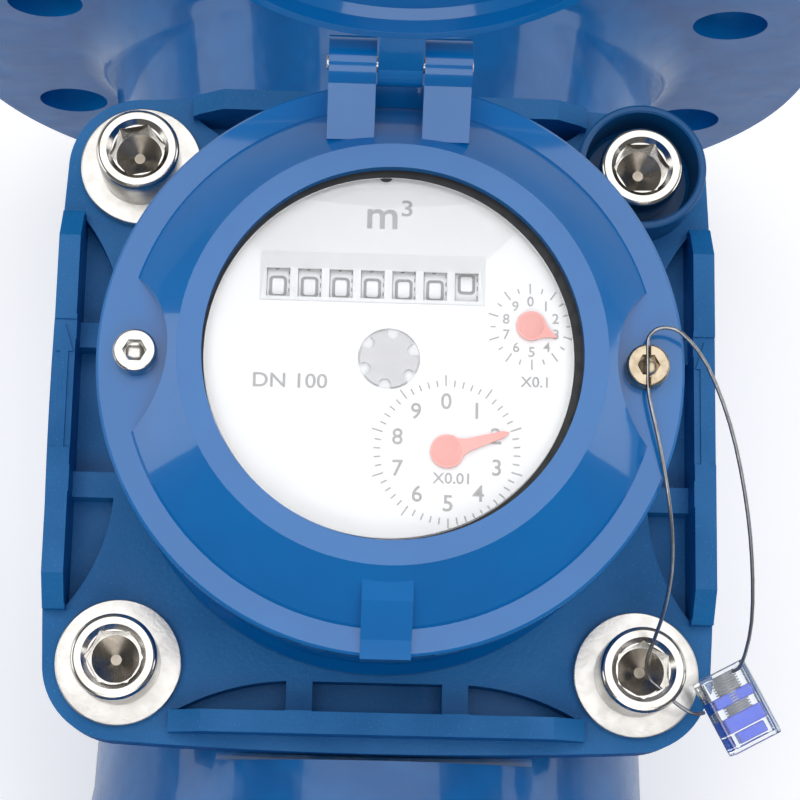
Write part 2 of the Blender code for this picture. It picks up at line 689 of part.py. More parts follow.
def register_can():
    """Sealed can that holds the register, standing on the housing's floor."""
    z0 = COVER_Z + 9.05
    top = GLASS_Z0 - 0.05
    inner = CAN_R - CAN_WALL
    ledge = DIAL_Z - DIAL_T - 0.05
    profile = [(0.0, z0), (CAN_R, z0), (CAN_R, top), (inner, top), (inner, ledge), (inner - 1.2, ledge - 1.2)]
    profile += [(inner, ledge - 2.4), (inner, z0 + 14.4), (inner - 1.4, z0 + 14.4)]
    profile += [(inner - 1.4, z0 + CAN_WALL), (0.0, z0 + CAN_WALL)]
    bm = revolve(profile, 32, "Z", (REG_X, REG_Y, 0.0))
    return make_object("register_can", bm, (REG_X, REG_Y, z0))


def window():
    """Stepped window glass and the black gasket over its rim."""
    c = (REG_X, REG_Y, 0.0)
    rim = GLASS_Z0 + GLASS_RIM_T
    profile = [(0.0, GLASS_Z0), (GLASS_RIM_R, GLASS_Z0), (GLASS_RIM_R, rim), (GLASS_R, rim)]
    profile += [(GLASS_R, GLASS_Z - 0.4), (GLASS_R - 0.4, GLASS_Z), (0.0, GLASS_Z)]
    glass = make_object("window_glass", revolve(profile, 36, "Z", c), (REG_X, REG_Y, GLASS_Z0))
    z0 = rim + 0.02
    z1 = BEZEL_Z - LIP_T - 0.02
    inner = GLASS_R + 0.12
    seal = revolve([(inner, z0), (GLASS_RIM_R, z0), (GLASS_RIM_R, z1), (inner, z1)], 36, "Z", c)
    return [glass, make_object("window_gasket", seal, (REG_X, REG_Y, z0))]


def drum_x(index):
    """Middle of a number drum along X, the units drum being index 0."""
    return DRUM_LAST_X + REG_X - DRUM_PITCH * index


def dial():
    """Dial plate with its number windows, arbor holes and star window."""
    c = (REG_X, REG_Y, 0.0)
    z0 = DIAL_Z - DIAL_T
    bm = cylinder(CAN_R - CAN_WALL - 0.3, z0, DIAL_Z, 32, "Z", c)
    y = DRUM_Y + REG_Y
    x0 = drum_x(DRUMS - 1) - DRUM_PITCH / 2.0 - 0.8
    x1 = drum_x(0) + DRUM_PITCH / 2.0 + 0.8
    cuts = [box(x0, x1, y - 4.2, y + 6.0, DIAL_Z - 0.35, DIAL_Z + 1.0)]
    for i in range(DRUMS):
        x = drum_x(i)
        cuts.append(box(x - 2.4, x + 2.4, y - 2.9, y + 2.9, z0 - 2.0, DIAL_Z + 2.0))
    for hx, hy, hr in ((*TENTH_XY, ARBOR_R + RUN), (*HUNDREDTH_XY, ARBOR_R + RUN), (0.0, 0.0, STAR_R + 0.5)):
        cuts.append(hole(hr, z0 - 3.0, DIAL_Z + 3.0, 16, "Z", (REG_X + hx, REG_Y + hy, 0.0)))
    return make_object("dial_plate", cut(bm, *cuts), (REG_X, REG_Y, z0))


DRUM_AXIS_Z = DIAL_Z - DIAL_T - 0.6 - DRUM_R
WHEEL_X = TENTH_XY[0] + REG_X
WORM_PITCH_R = 2.4
WHEEL_TEETH = 10


def drums():
    """Seven number drums in a row; the units drum is keyed to the turning shaft."""
    made = []
    y = DRUM_Y + REG_Y
    for i in range(DRUMS):
        x = drum_x(i)
        bore = SHAFT_R + (0.0 if i == 0 else RUN)
        half = DRUM_W / 2.0
        if i == 0:
            bore += 0.04
        profile = [(bore, -half), (DRUM_R, -half), (DRUM_R, half), (bore, half)]
        bm = revolve(profile, 20, "X", (x, y, DRUM_AXIS_Z))
        made.append(make_object("number_drum_%d" % (DRUMS - i), bm, (x, y, DRUM_AXIS_Z)))
    return made


def tooth_ring(teeth, module, tip, root, width=0.42, phase=0.0):
    """Plan outline of a gear with straight flanked teeth; width is the share of the pitch at mid height."""
    pitch = 2.0 * math.pi / teeth
    pitch_r = teeth * module / 2.0
    outline = []
    for i in range(teeth):
        mid = pitch * i + phase
        for share, radius in ((-0.62, pitch_r - root), (-0.38, pitch_r + tip),
                              (0.38, pitch_r + tip), (0.62, pitch_r - root)):
            a = mid + share * width * pitch
            outline.append((radius * math.cos(a), radius * math.sin(a)))
    return outline


def spur(x, y, z0, z1, teeth, module, phase=0.0):
    """Spur gear body at a place, with addendum and root taken from its module."""
    outline = tooth_ring(teeth, module, 0.75 * module, 1.1 * module, 0.42, phase)
    return prism([(x + px, y + py) for px, py in outline], z0, z1)


def worm(radius, pitch, length, depth, segments=10, steps=0.34):
    """Single start worm along Z, centred on the origin: a core with a helical ridge swept round it."""
    core = cylinder(radius - depth, -length / 2.0, length / 2.0, segments)
    turns = length / pitch - 0.6
    count = int(turns * segments)
    sections = []
    for i in range(count + 1):
        a = 2.0 * math.pi * i / segments
        h = -turns * pitch / 2.0 + pitch * i / segments
        half = pitch * steps / 2.0
        section = []
        root = radius - depth - 0.3
        for r, dh in ((root, -half), (radius, -half * 0.55), (radius, half * 0.55), (root, half)):
            section.append((r * math.cos(a), r * math.sin(a), h + dh))
        sections.append(section)
    return fuse(core, loft(sections))


def mesh_phase(from_xy, to_xy, teeth_from, teeth_to, phase_from=0.0):
    """Phase of a gear that meshes with another one whose phase is given."""
    a = math.atan2(to_xy[1] - from_xy[1], to_xy[0] - from_xy[0])
    step_from = 2.0 * math.pi / teeth_from
    offset = ((a - phase_from) / step_from) % 1.0
    step_to = 2.0 * math.pi / teeth_to
    return a + math.pi + step_to * (offset + 0.5)


STAR_TEETH = 16
HUNDREDTH_TEETH = 40
HUNDREDTH_PINION = 12
IDLER_TEETH = 40
IDLER_PINION = 8
TENTH_TEETH = 24
IDLER_MODULE = 0.75
TENTH_MODULE = 0.66
GEAR_T = 1.2
STAR_ARBOR_FOOT = 18.0
PILLAR_R = 1.6
PILLAR_INSET = 4.9
PILLAR_ANGLES = (125.0, 205.0, 265.0)


def idler_xy():
    """Place of the idler arbor, from its two centre distances."""
    p1 = Vector(HUNDREDTH_XY)
    p2 = Vector(TENTH_XY)
    d1 = IDLER_MODULE * (HUNDREDTH_PINION + IDLER_TEETH) / 2.0
    d2 = TENTH_MODULE * (IDLER_PINION + TENTH_TEETH) / 2.0
    span = (p2 - p1).length
    along = (d1 * d1 - d2 * d2 + span * span) / (2.0 * span)
    across = math.sqrt(max(0.0, d1 * d1 - along * along))
    u = (p2 - p1).normalized()
    n = Vector((-u.y, u.x))
    spot = p1 + u * along + n * across
    return (spot.x, spot.y)


def register_train():
    """Star wheel, pointers and idler with their wheels, and the two plates that carry them."""
    made = []
    base = COVER_Z + 9.05 + 14.5
    lower0 = base
    lower1 = base + 1.5
    level_b = lower1 + 1.2
    level_c = level_b + 2.4
    upper0 = level_c + 2.6
    upper1 = upper0 + 1.5
    level_a = upper1 + 1.4
    star = (0.0, 0.0)
    idler = idler_xy()
    star_module = 2.0 * math.hypot(*HUNDREDTH_XY) / (STAR_TEETH + HUNDREDTH_TEETH)
    ph_hundredth = mesh_phase(star, HUNDREDTH_XY, STAR_TEETH, HUNDREDTH_TEETH)
    ph_idler = mesh_phase(HUNDREDTH_XY, idler, HUNDREDTH_PINION, IDLER_TEETH)
    ph_tenth = mesh_phase(idler, TENTH_XY, IDLER_PINION, TENTH_TEETH)

    def at(xy):
        return (xy[0] + REG_X, xy[1] + REG_Y)

    top = DIAL_Z + 0.35
    x, y = at(star)
    bm = cylinder(ARBOR_R, COVER_Z + STAR_ARBOR_FOOT, DIAL_Z, 10, "Z", (x, y, 0.0))
    bm = fuse(bm, spur(x, y, level_a, level_a + GEAR_T, STAR_TEETH, star_module),
              star_disc(x, y, DIAL_Z - 0.6, DIAL_Z - 0.1))
    made.append(make_object("flow_star", bm, (x, y, DIAL_Z)))

    x, y = at(HUNDREDTH_XY)
    bm = cylinder(ARBOR_R, lower1 + 0.05, top + 0.3, 10, "Z", (x, y, 0.0))
    bm = fuse(bm, spur(x, y, level_a, level_a + GEAR_T, HUNDREDTH_TEETH, star_module, ph_hundredth),
              spur(x, y, level_b, level_b + GEAR_T, HUNDREDTH_PINION, IDLER_MODULE),
              pointer(x, y, top, HUNDREDTH_TIP, HUNDREDTH_DISC_R, math.radians(HUNDREDTH_ANGLE)))
    made.append(make_object("pointer_hundredths", bm, (x, y, top)))

    x, y = at(idler)
    bm = cylinder(ARBOR_R, lower1 + 0.05, upper0 + 1.2, 10, "Z", (x, y, 0.0))
    bm = fuse(bm, spur(x, y, level_b, level_b + GEAR_T, IDLER_TEETH, IDLER_MODULE, ph_idler),
              spur(x, y, level_c, level_c + GEAR_T, IDLER_PINION, TENTH_MODULE))
    made.append(make_object("idler_wheel", bm, (x, y, level_b)))

    x, y = at(TENTH_XY)
    bm = cylinder(ARBOR_R, level_c - 0.5, top + 0.3, 10, "Z", (x, y, 0.0))
    bm = fuse(bm, spur(x, y, level_c, level_c + GEAR_T, TENTH_TEETH, TENTH_MODULE, ph_tenth), drum_worm(),
              pointer(x, y, top, TENTH_TIP, TENTH_DISC_R, math.radians(TENTH_ANGLE)))
    made.append(make_object("pointer_tenths", bm, (x, y, top)))

    inner = CAN_R - CAN_WALL
    plate = cylinder(inner - 0.3, lower0, lower1, 32, "Z", (REG_X, REG_Y, 0.0))
    pillars = []
    for degrees in PILLAR_ANGLES:
        a = math.radians(degrees)
        spot = (*at(((inner - PILLAR_INSET) * math.cos(a), (inner - PILLAR_INSET) * math.sin(a))), 0.0)
        pillars.append(cylinder(PILLAR_R, lower1 - 0.3, upper0 - 0.02, 8, "Z", spot))
    plate = fuse(plate, *pillars)
    plate = cut(plate, hole(ARBOR_R + RUN, lower0 - 2.0, lower1 + 2.0, 10, "Z", (REG_X, REG_Y, 0.0)))
    made.append(make_object("movement_lower_plate", plate, (REG_X, REG_Y, lower0)))
    plate = cylinder(inner - 0.3, upper0, upper1, 32, "Z", (REG_X, REG_Y, 0.0))
    holes = [hole(ARBOR_R + RUN, upper0 - 2.0, upper1 + 2.0, 10, "Z", (*at(p), 0.0))
             for p in (star, HUNDREDTH_XY, idler, TENTH_XY)]
    made.append(make_object("movement_upper_plate", cut(plate, *holes), (REG_X, REG_Y, upper0)))
    made.append(drum_shaft(upper1))
    magnet = [(0.0, COVER_Z + 11.0), (7.5, COVER_Z + 11.0), (7.5, COVER_Z + 18.2), (0.0, COVER_Z + 18.2)]
    bm = revolve(magnet, 20, "Z", (REG_X, REG_Y, 0.0))
    bm = cut(bm, hole(ARBOR_R + 0.01, COVER_Z + 17.99, COVER_Z + 30.0, 10, "Z", (REG_X, REG_Y, 0.0)))
    made.append(make_object("follower_magnet", bm, (REG_X, REG_Y, COVER_Z + 11.0)))
    return made


def worm_centre_distance():
    """Distance in Y between the worm on the tenths arbor and the drum shaft."""
    return DRUM_Y - TENTH_XY[1]


def drum_worm():
    """Worm on the tenths arbor, level with the drum shaft."""
    pitch_r = worm_centre_distance() - WORM_PITCH_R
    module = 2.0 * pitch_r / WHEEL_TEETH
    bm = worm(WORM_PITCH_R + 0.7 * module, math.pi * module, 9.0, 1.35 * module)
    place = Matrix.Translation((TENTH_XY[0] + REG_X, TENTH_XY[1] + REG_Y, DRUM_AXIS_Z))
    bmesh.ops.transform(bm, matrix=place @ Matrix.Rotation(math.radians(90.0), 4, "Z"), verts=bm.verts)
    return bm


def drum_shaft(plate_top):
    """Shaft of the number drums with its worm wheel, carried in two brackets of its own length."""
    pitch_r = worm_centre_distance() - WORM_PITCH_R
    module = 2.0 * pitch_r / WHEEL_TEETH
    y = DRUM_Y + REG_Y
    x0 = drum_x(DRUMS - 1) - DRUM_PITCH / 2.0 - 2.2
    x1 = WHEEL_X + 1.2
    bm = cylinder(SHAFT_R, x0, x1, 16, "X", (0.0, y, DRUM_AXIS_Z))
    phase = math.pi / WHEEL_TEETH - math.pi / 2.0
    outline = tooth_ring(WHEEL_TEETH, module, 0.6 * module, 0.95 * module, 0.36, phase)
    wheel = side_prism([(y - py, DRUM_AXIS_Z + px) for px, py in outline], WHEEL_X - 0.8, WHEEL_X + 0.8)
    return make_object("drum_shaft", fuse(bm, wheel), (0.0, y, DRUM_AXIS_Z))


def star_disc(x, y, z0, z1):
    """Flat star of the low flow indicator with round notches."""
    notches = 6
    outline = []
    for i in range(notches):
        mid = 360.0 / notches * i
        centre_a = math.radians(mid)
        cx, cy = STAR_R * math.cos(centre_a), STAR_R * math.sin(centre_a)
        for k in range(5):
            a = centre_a + math.pi + math.radians(66.0 - 33.0 * k)
            outline.append((x + cx + 1.5 * math.cos(a), y + cy + 1.5 * math.sin(a)))
        for k in range(4):
            a = math.radians(mid + 16.0 + 28.0 * k / 3.0)
            outline.append((x + STAR_R * math.cos(a), y + STAR_R * math.sin(a)))
    return prism(outline, z0, z1)


def pointer(x, y, z, length, disc_r, angle):
    """Flat teardrop pointer: a disc with a tapering tip."""
    outline = []
    spread = math.radians(38.0)
    for i in range(15):
        a = angle + spread + (2.0 * math.pi - 2.0 * spread) * i / 14.0
        outline.append((x + disc_r * math.cos(a), y + disc_r * math.sin(a)))
    side = 0.35
    tip_x, tip_y = x + length * math.cos(angle), y + length * math.sin(angle)
    nx, ny = -math.sin(angle), math.cos(angle)
    outline.append((tip_x - side * nx, tip_y - side * ny))
    outline.append((tip_x + side * nx, tip_y + side * ny))
    return prism(outline, z, z + 0.6)


DRIVE_R = 12.8
DRIVE_LEDGE_R = 10.5
MAGNET_R = 8.8


def insert_unit():
    """Insert frame, straightener, bearings, shafts, magnet and rotor in the pipe."""
    made = []
    z = AXIS_Z
    inner = TUBE_R - TUBE_WALL
    wall = [(inner, -TUBE_HALF), (TUBE_R, -TUBE_HALF), (TUBE_R, TUBE_HALF), (inner, TUBE_HALF)]
    tube = revolve(wall, 36, "Y", (0.0, 0.0, z), 0.5)
    neck_top = COVER_Z0 - 0.1
    neck = revolve([(0.0, z + inner + 0.8), (30.0, z + inner - 6.0), (30.0, neck_top), (0.0, neck_top)], 24)
    neck = cut(neck, hole(inner + 1.0, -TUBE_HALF - 5.0, TUBE_HALF + 5.0, 36, "Y", (0.0, 0.0, z), 0.5))
    tube = fuse(tube, neck)
    ledge = z + inner + 1.6
    bore = [(0.0, z + inner - 6.0), (DRIVE_LEDGE_R, z + inner - 6.0), (DRIVE_LEDGE_R, ledge)]
    bore += [(DRIVE_R + 0.1, ledge), (DRIVE_R + 0.1, neck_top + 3.0), (0.0, neck_top + 3.0)]
    made.append(make_object("insert_frame", cut(tube, revolve(bore, 24)), (0.0, 0.0, z)))
    drive_top = ledge + 7.0
    drive = cylinder(DRIVE_R, ledge + 0.03, drive_top, 24)
    drive = cut(drive, hole(AXLE_R + RUN, ledge + 2.0, drive_top + 2.0, 12))
    made.append(make_object("drive_gearbox", drive, (0.0, 0.0, ledge)))
    low = COVER_Z - 3.0
    high = COVER_Z + 4.3
    magnet = [(0.0, ledge + 2.1), (AXLE_R, ledge + 2.1), (AXLE_R, low)]
    magnet += [(MAGNET_R, low), (MAGNET_R, high), (0.0, high)]
    made.append(make_object("drive_magnet", revolve(magnet, 24), (0.0, 0.0, low)))

    made.append(spider("flow_straightener", -TUBE_HALF + 0.1, -ROTOR_HALF - 2.0, 6, inner - 0.4))
    made.append(spider("rear_bearing", ROTOR_HALF + 2.0, TUBE_HALF - 0.1, 4, inner - 0.4))

    core = cylinder(ROTOR_HUB_R, -ROTOR_HALF, ROTOR_HALF, 24, "Y", (0.0, 0.0, z))
    axle = cylinder(AXLE_R, -ROTOR_HALF - 6.0, ROTOR_HALF + 6.0, 14, "Y", (0.0, 0.0, z))
    rotor = fuse(core, axle, *[blade(360.0 / BLADES * i) for i in range(BLADES)])
    bmesh.ops.triangulate(rotor, faces=rotor.faces)
    made.append(make_object("turbine_rotor", rotor, (0.0, 0.0, z)))
    return made


def spider(name, y0, y1, arms, outer):
    """Hub on radial vanes inside the insert tube, with a bearing hole for the rotor's axle."""
    z = AXIS_Z
    hub = revolve([(0.0, y0), (9.0, y0), (9.0, y1), (0.0, y1)], 20, "Y", (0.0, 0.0, z))
    adds = []
    for i in range(arms):
        vane = box(-0.9, 0.9, y0 + 0.4, y1 - 0.4, 7.0, outer - 0.5)
        spin = Matrix.Rotation(2.0 * math.pi * (i + 0.5) / arms, 4, "Y")
        bmesh.ops.transform(vane, matrix=Matrix.Translation((0.0, 0.0, z)) @ spin, verts=vane.verts)
        adds.append(vane)
    rim = [(outer - SPIDER_RIM, y0), (outer, y0), (outer, y1), (outer - SPIDER_RIM, y1)]
    rim = revolve(rim, 28, "Y", (0.0, 0.0, z), 0.5)
    bm = fuse(hub, rim, *adds)
    mid = y0 if y0 > 0.0 else y1
    bm = cut(bm, hole(AXLE_R + RUN, mid - 6.5, mid + 6.5, 14, "Y", (0.0, 0.0, z)))
    return make_object(name, bm, (0.0, (y0 + y1) / 2.0, z))


def blade(start):
    """One twisted turbine blade; both its sides have the same diagonals, so that it keeps its thickness."""
    root = ROTOR_HUB_R - BLADE_SUNK
    span = ROTOR_R - root
    reach = [root + span * k / BLADE_SPANS for k in range(BLADE_SPANS + 1)]
    bm = bmesh.new()
    rings = []
    for i in range(BLADE_STEPS + 1):
        along = i / BLADE_STEPS
        y = (2.0 * along - 1.0) * (ROTOR_HALF - BLADE_INSET)
        a = math.radians(start + BLADE_TWIST * (along - 0.5))
        ca, sa = math.cos(a), math.sin(a)
        ring = []
        for side, radii in ((-0.5, reach), (0.5, reversed(reach))):
            for r in radii:
                w = side * BLADE_T * (1.0 - BLADE_TAPER * (r - root) / span)
                ring.append(bm.verts.new((r * ca - w * sa, y, AXIS_Z + r * sa + w * ca)))
        rings.append(ring)
    count = len(rings[0])
    for lower, upper in zip(rings, rings[1:]):
        for i in range(count):
            j = (i + 1) % count
            first, second = ((lower[i], upper[j]) if i <= BLADE_SPANS else (lower[j], upper[i]))
            bm.faces.new((lower[i], lower[j], second))
            bm.faces.new((first, upper[j], upper[i]))
    bm.faces.new(list(reversed(rings[0])))
    bm.faces.new(rings[-1])
    return bm


SEAL_CENTRE = (75.2, -62.0, COVER_Z + 9.0)
SEAL_LEN = 17.0
SEAL_W = 11.0
SEAL_T = 7.6
SEAL_TURN = -62.0
SEAL_BORE_R = 3.4
WINDER_R = 3.1
WINDER_NECK_R = 1.6
WIRE_D = 0.8
WIRE_POINTS = (
    (73.6, -54.9, 13.6), (75.0, -53.4, 17.0), (75.4, -46.0, 26.0), (74.0, -34.2, 34.5), (71.4, -22.0, 41.5),
    (67.4, -9.5, 48.0), (62.0, 1.0, 53.4), (56.6, 6.6, 56.2), (52.6, 7.6, 56.2), (50.3, 6.0, 55.4),
    (50.0, 3.4, 55.16), (50.0, 0.0, 55.16), (50.0, -3.4, 55.16), (50.4, -7.0, 55.3), (52.0, -14.0, 55.0),
    (54.0, -23.0, 52.8), (55.8, -31.0, 47.6), (57.0, -38.0, 39.0), (57.0, -44.5, 29.0), (56.2, -49.5, 20.5),
    (55.6, -53.2, 14.0), (56.6, -56.4, 10.9), (59.0, -58.6, 10.5), (61.7, -61.07, 10.5), (64.6, -63.0, 10.4),
    (66.6, -63.6, 9.8), (68.4, -63.2, 9.2),
)


def smooth_line(points, per_span=3):
    """Catmull-Rom points through the given ones."""
    out = []
    last = len(points) - 1
    for i in range(last):
        p0 = Vector(points[max(0, i - 1)])
        p1 = Vector(points[i])
        p2 = Vector(points[i + 1])
        p3 = Vector(points[min(last, i + 2)])
        for k in range(per_span):
            t = k / per_span
            out.append(0.5 * (2.0 * p1 + (p2 - p0) * t + (2.0 * p0 - 5.0 * p1 + 4.0 * p2 - p3) * t * t
                              + (3.0 * p1 - p0 - 3.0 * p2 + p3) * t ** 3))
    out.append(Vector(points[last]))
    return out


def seal_wire():
    """Seal wire: from the seal through the ring screw, down into the bolt's socket and back."""
    curve = bpy.data.curves.new("seal_wire", "CURVE")
    curve.dimensions = "3D"
    curve.bevel_depth = WIRE_D / 2.0 * MM
    curve.bevel_resolution = 1
    curve.use_fill_caps = True
    points = [Vector((x, y, COVER_Z + z)) for x, y, z in WIRE_POINTS]
    line = smooth_line(points)
    origin = line[0]
    spline = curve.splines.new("POLY")
    spline.points.add(len(line) - 1)
    for slot, p in zip(spline.points, line):
        slot.co = (*((p - origin) * MM), 1.0)
    obj = bpy.data.objects.new("seal_wire", curve)
    obj.location = origin * MM
    bpy.context.scene.collection.objects.link(obj)
    return obj


def seal_pieces():
    """Clear seal body and the blue winder inside it."""
    cx, cy, cz = SEAL_CENTRE
    half_l, half_w, half_t = SEAL_LEN / 2.0, SEAL_W / 2.0, SEAL_T / 2.0
    outline = [(-half_l, -half_w), (half_l, -half_w), (half_l, half_w), (-half_l, half_w)]
    shell = prism(outline, -half_t, half_t)
    shell = cut(shell, cylinder(SEAL_BORE_R, -half_l - 1.0, half_l - 1.6, 24, "X"))
    turn = Matrix.Translation((cx, cy, cz)) @ Matrix.Rotation(math.radians(SEAL_TURN), 4, "Z")
    bmesh.ops.transform(shell, matrix=turn, verts=shell.verts)
    spool = [(0.0, -half_l + 0.4), (WINDER_R, -half_l + 0.4), (WINDER_R, -half_l + 3.4)]
    spool += [(WINDER_NECK_R, -half_l + 3.9), (WINDER_NECK_R, 2.0), (WINDER_R, 2.5)]
    spool += [(WINDER_R, half_l - 2.0), (0.0, half_l - 2.0)]
    core = revolve(spool, 20, "X")
    bmesh.ops.transform(core, matrix=turn, verts=core.verts)
    return [make_object("seal_body", shell, SEAL_CENTRE), make_object("seal_winder", core, SEAL_CENTRE)]


def main():
    """Builds every piece and gives each its material."""
    clear_scene()
    b = BOLT_HALF
    paint = {"colour": BLUE, "roughness": 0.25}
    finishes = {}
    pieces = [body()]
    finishes["meter_body"] = paint
    pieces.append(gasket())
    finishes["cover_gasket"] = {"colour": BLACK, "roughness": 0.8}
    pieces.append(cover())
    finishes["cover_plate"] = {"colour": BLUE_DARK, "roughness": 0.5}
    seat = COVER_Z + WASHER_T + 0.01
    spots = (("front_left", -b, -b, seat, 0.0, False), ("front_right", b, -b, seat, 30.0, True),
             ("rear_left", -b, b, seat, 12.0, False),
             ("rear_right", b, b, COVER_Z + CUP_FLOOR + 0.03, 2.0, False))
    for tag, x, y, z, turn, drilled in spots:
        pieces.append(cap_bolt("cover_bolt_" + tag, x, y, z, turn, drilled))
        finishes[pieces[-1].name] = {"colour": STEEL, "roughness": 0.22, "metallic": 1.0}
    for tag, x, y in (("front_left", -b, -b), ("front_right", b, -b), ("rear_left", -b, b)):
        pieces.append(washer("washer_" + tag, x, y))
        finishes[pieces[-1].name] = {"colour": STEEL, "roughness": 0.3, "metallic": 1.0}
    pieces.append(seal_cup(b, b))
    finishes["seal_cup"] = paint
    for maker, finish in ((housing, paint), (clamp_ring, paint)):
        pieces.append(maker())
        finishes[pieces[-1].name] = finish
    for name, sign, slotted in (("ring_screw_left", -1.0, False), ("ring_screw_right", 1.0, True)):
        pieces.append(small_screw(name, sign, slotted))
        finishes[name] = {"colour": STEEL, "roughness": 0.25, "metallic": 1.0}
    pieces.append(hinge_pin())
    finishes["hinge_pin"] = {"colour": STEEL, "roughness": 0.3, "metallic": 1.0}
    pieces.append(lid())
    finishes["lid"] = paint
    pieces.append(register_can())
    finishes["register_can"] = {"colour": (0.55, 0.38, 0.22), "roughness": 0.3, "metallic": 1.0}
    pieces += window()
    finishes["window_glass"] = {"colour": (0.95, 0.97, 0.98), "roughness": 0.05, "alpha": 0.25}
    finishes["window_gasket"] = {"colour": BLACK, "roughness": 0.6}
    pieces.append(dial())
    finishes["dial_plate"] = {"colour": WHITE, "roughness": 0.5}
    for obj in drums():
        pieces.append(obj)
        finishes[obj.name] = {"colour": WHITE, "roughness": 0.45}
    for obj in register_train():
        pieces.append(obj)
        finishes[obj.name] = {"colour": GREY, "roughness": 0.4}
    finishes["pointer_tenths"] = {"colour": RED, "roughness": 0.4}
    finishes["pointer_hundredths"] = {"colour": RED, "roughness": 0.4}
    for obj in insert_unit():
        pieces.append(obj)
        finishes[obj.name] = {"colour": (0.16, 0.17, 0.18), "roughness": 0.45}
    finishes["turbine_rotor"] = {"colour": (0.75, 0.76, 0.76), "roughness": 0.4}
    pieces.append(seal_wire())
    finishes["seal_wire"] = {"colour": STEEL, "roughness": 0.3, "metallic": 1.0}
    for obj, finish in zip(seal_pieces(), ({"colour": (0.9, 0.93, 0.96), "roughness": 0.08, "alpha": 0.35},
                                           {"colour": (0.02, 0.12, 0.6), "roughness": 0.3})):
        pieces.append(obj)
        finishes[obj.name] = finish
    root = bpy.data.objects.new("water_meter", None)
    bpy.context.scene.collection.objects.link(root)
    for obj in pieces:
        obj.parent = root
        obj.data.materials.append(material(obj.name, **finishes[obj.name]))


main()
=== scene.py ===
"""Looks of a flanged DN 100 water meter: enamelled castings, sealed dial, bright bolts and a wired seal.

Sizes are in millimetres unless a name says otherwise. The frame is in metres.
"""
import logging
import math
from dataclasses import dataclass
from enum import Enum
from typing import Iterable, Sequence

import bmesh
import bpy
from mathutils import Euler, Matrix, Vector


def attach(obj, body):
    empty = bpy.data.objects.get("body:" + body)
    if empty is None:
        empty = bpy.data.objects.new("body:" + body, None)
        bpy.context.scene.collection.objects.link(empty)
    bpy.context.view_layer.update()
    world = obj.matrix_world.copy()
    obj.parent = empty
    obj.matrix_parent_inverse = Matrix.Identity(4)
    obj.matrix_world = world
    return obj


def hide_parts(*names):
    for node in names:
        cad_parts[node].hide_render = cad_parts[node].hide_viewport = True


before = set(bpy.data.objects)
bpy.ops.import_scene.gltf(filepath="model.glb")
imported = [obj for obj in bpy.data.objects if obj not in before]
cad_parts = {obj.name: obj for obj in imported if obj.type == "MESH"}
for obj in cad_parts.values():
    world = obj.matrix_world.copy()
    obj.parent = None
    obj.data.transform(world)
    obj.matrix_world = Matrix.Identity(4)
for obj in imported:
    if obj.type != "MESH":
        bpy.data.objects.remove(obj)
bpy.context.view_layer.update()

MM = 0.001
LOG = logging.getLogger("water_meter")
PRINT_T = 0.02
WELD = 0.002
PIN_HOLE_R = 1.66

Colour = tuple[float, float, float]
Point = tuple[float, float, float]
Pair = tuple[float, float]
Profile = list[Pair]


class Axis(Enum):
    """Axis that a turned part is made round."""

    X = "X"
    Y = "Y"
    Z = "Z"


class Slot(Enum):
    """Material slots of the record."""

    BODY = "body_paint"
    COVER = "cover_paint"
    HEAD = "head_paint"
    BOLT = "bolt_steel"
    RUBBER = "rubber"
    CAN = "can_metal"
    GLASS = "glass"
    DIAL = "dial_white"
    DRUM = "drum_white"
    STAR = "star_metal"
    POINTER = "pointer_red"
    WIRE = "seal_steel"
    SEAL = "seal_clear"
    WINDER = "seal_blue"


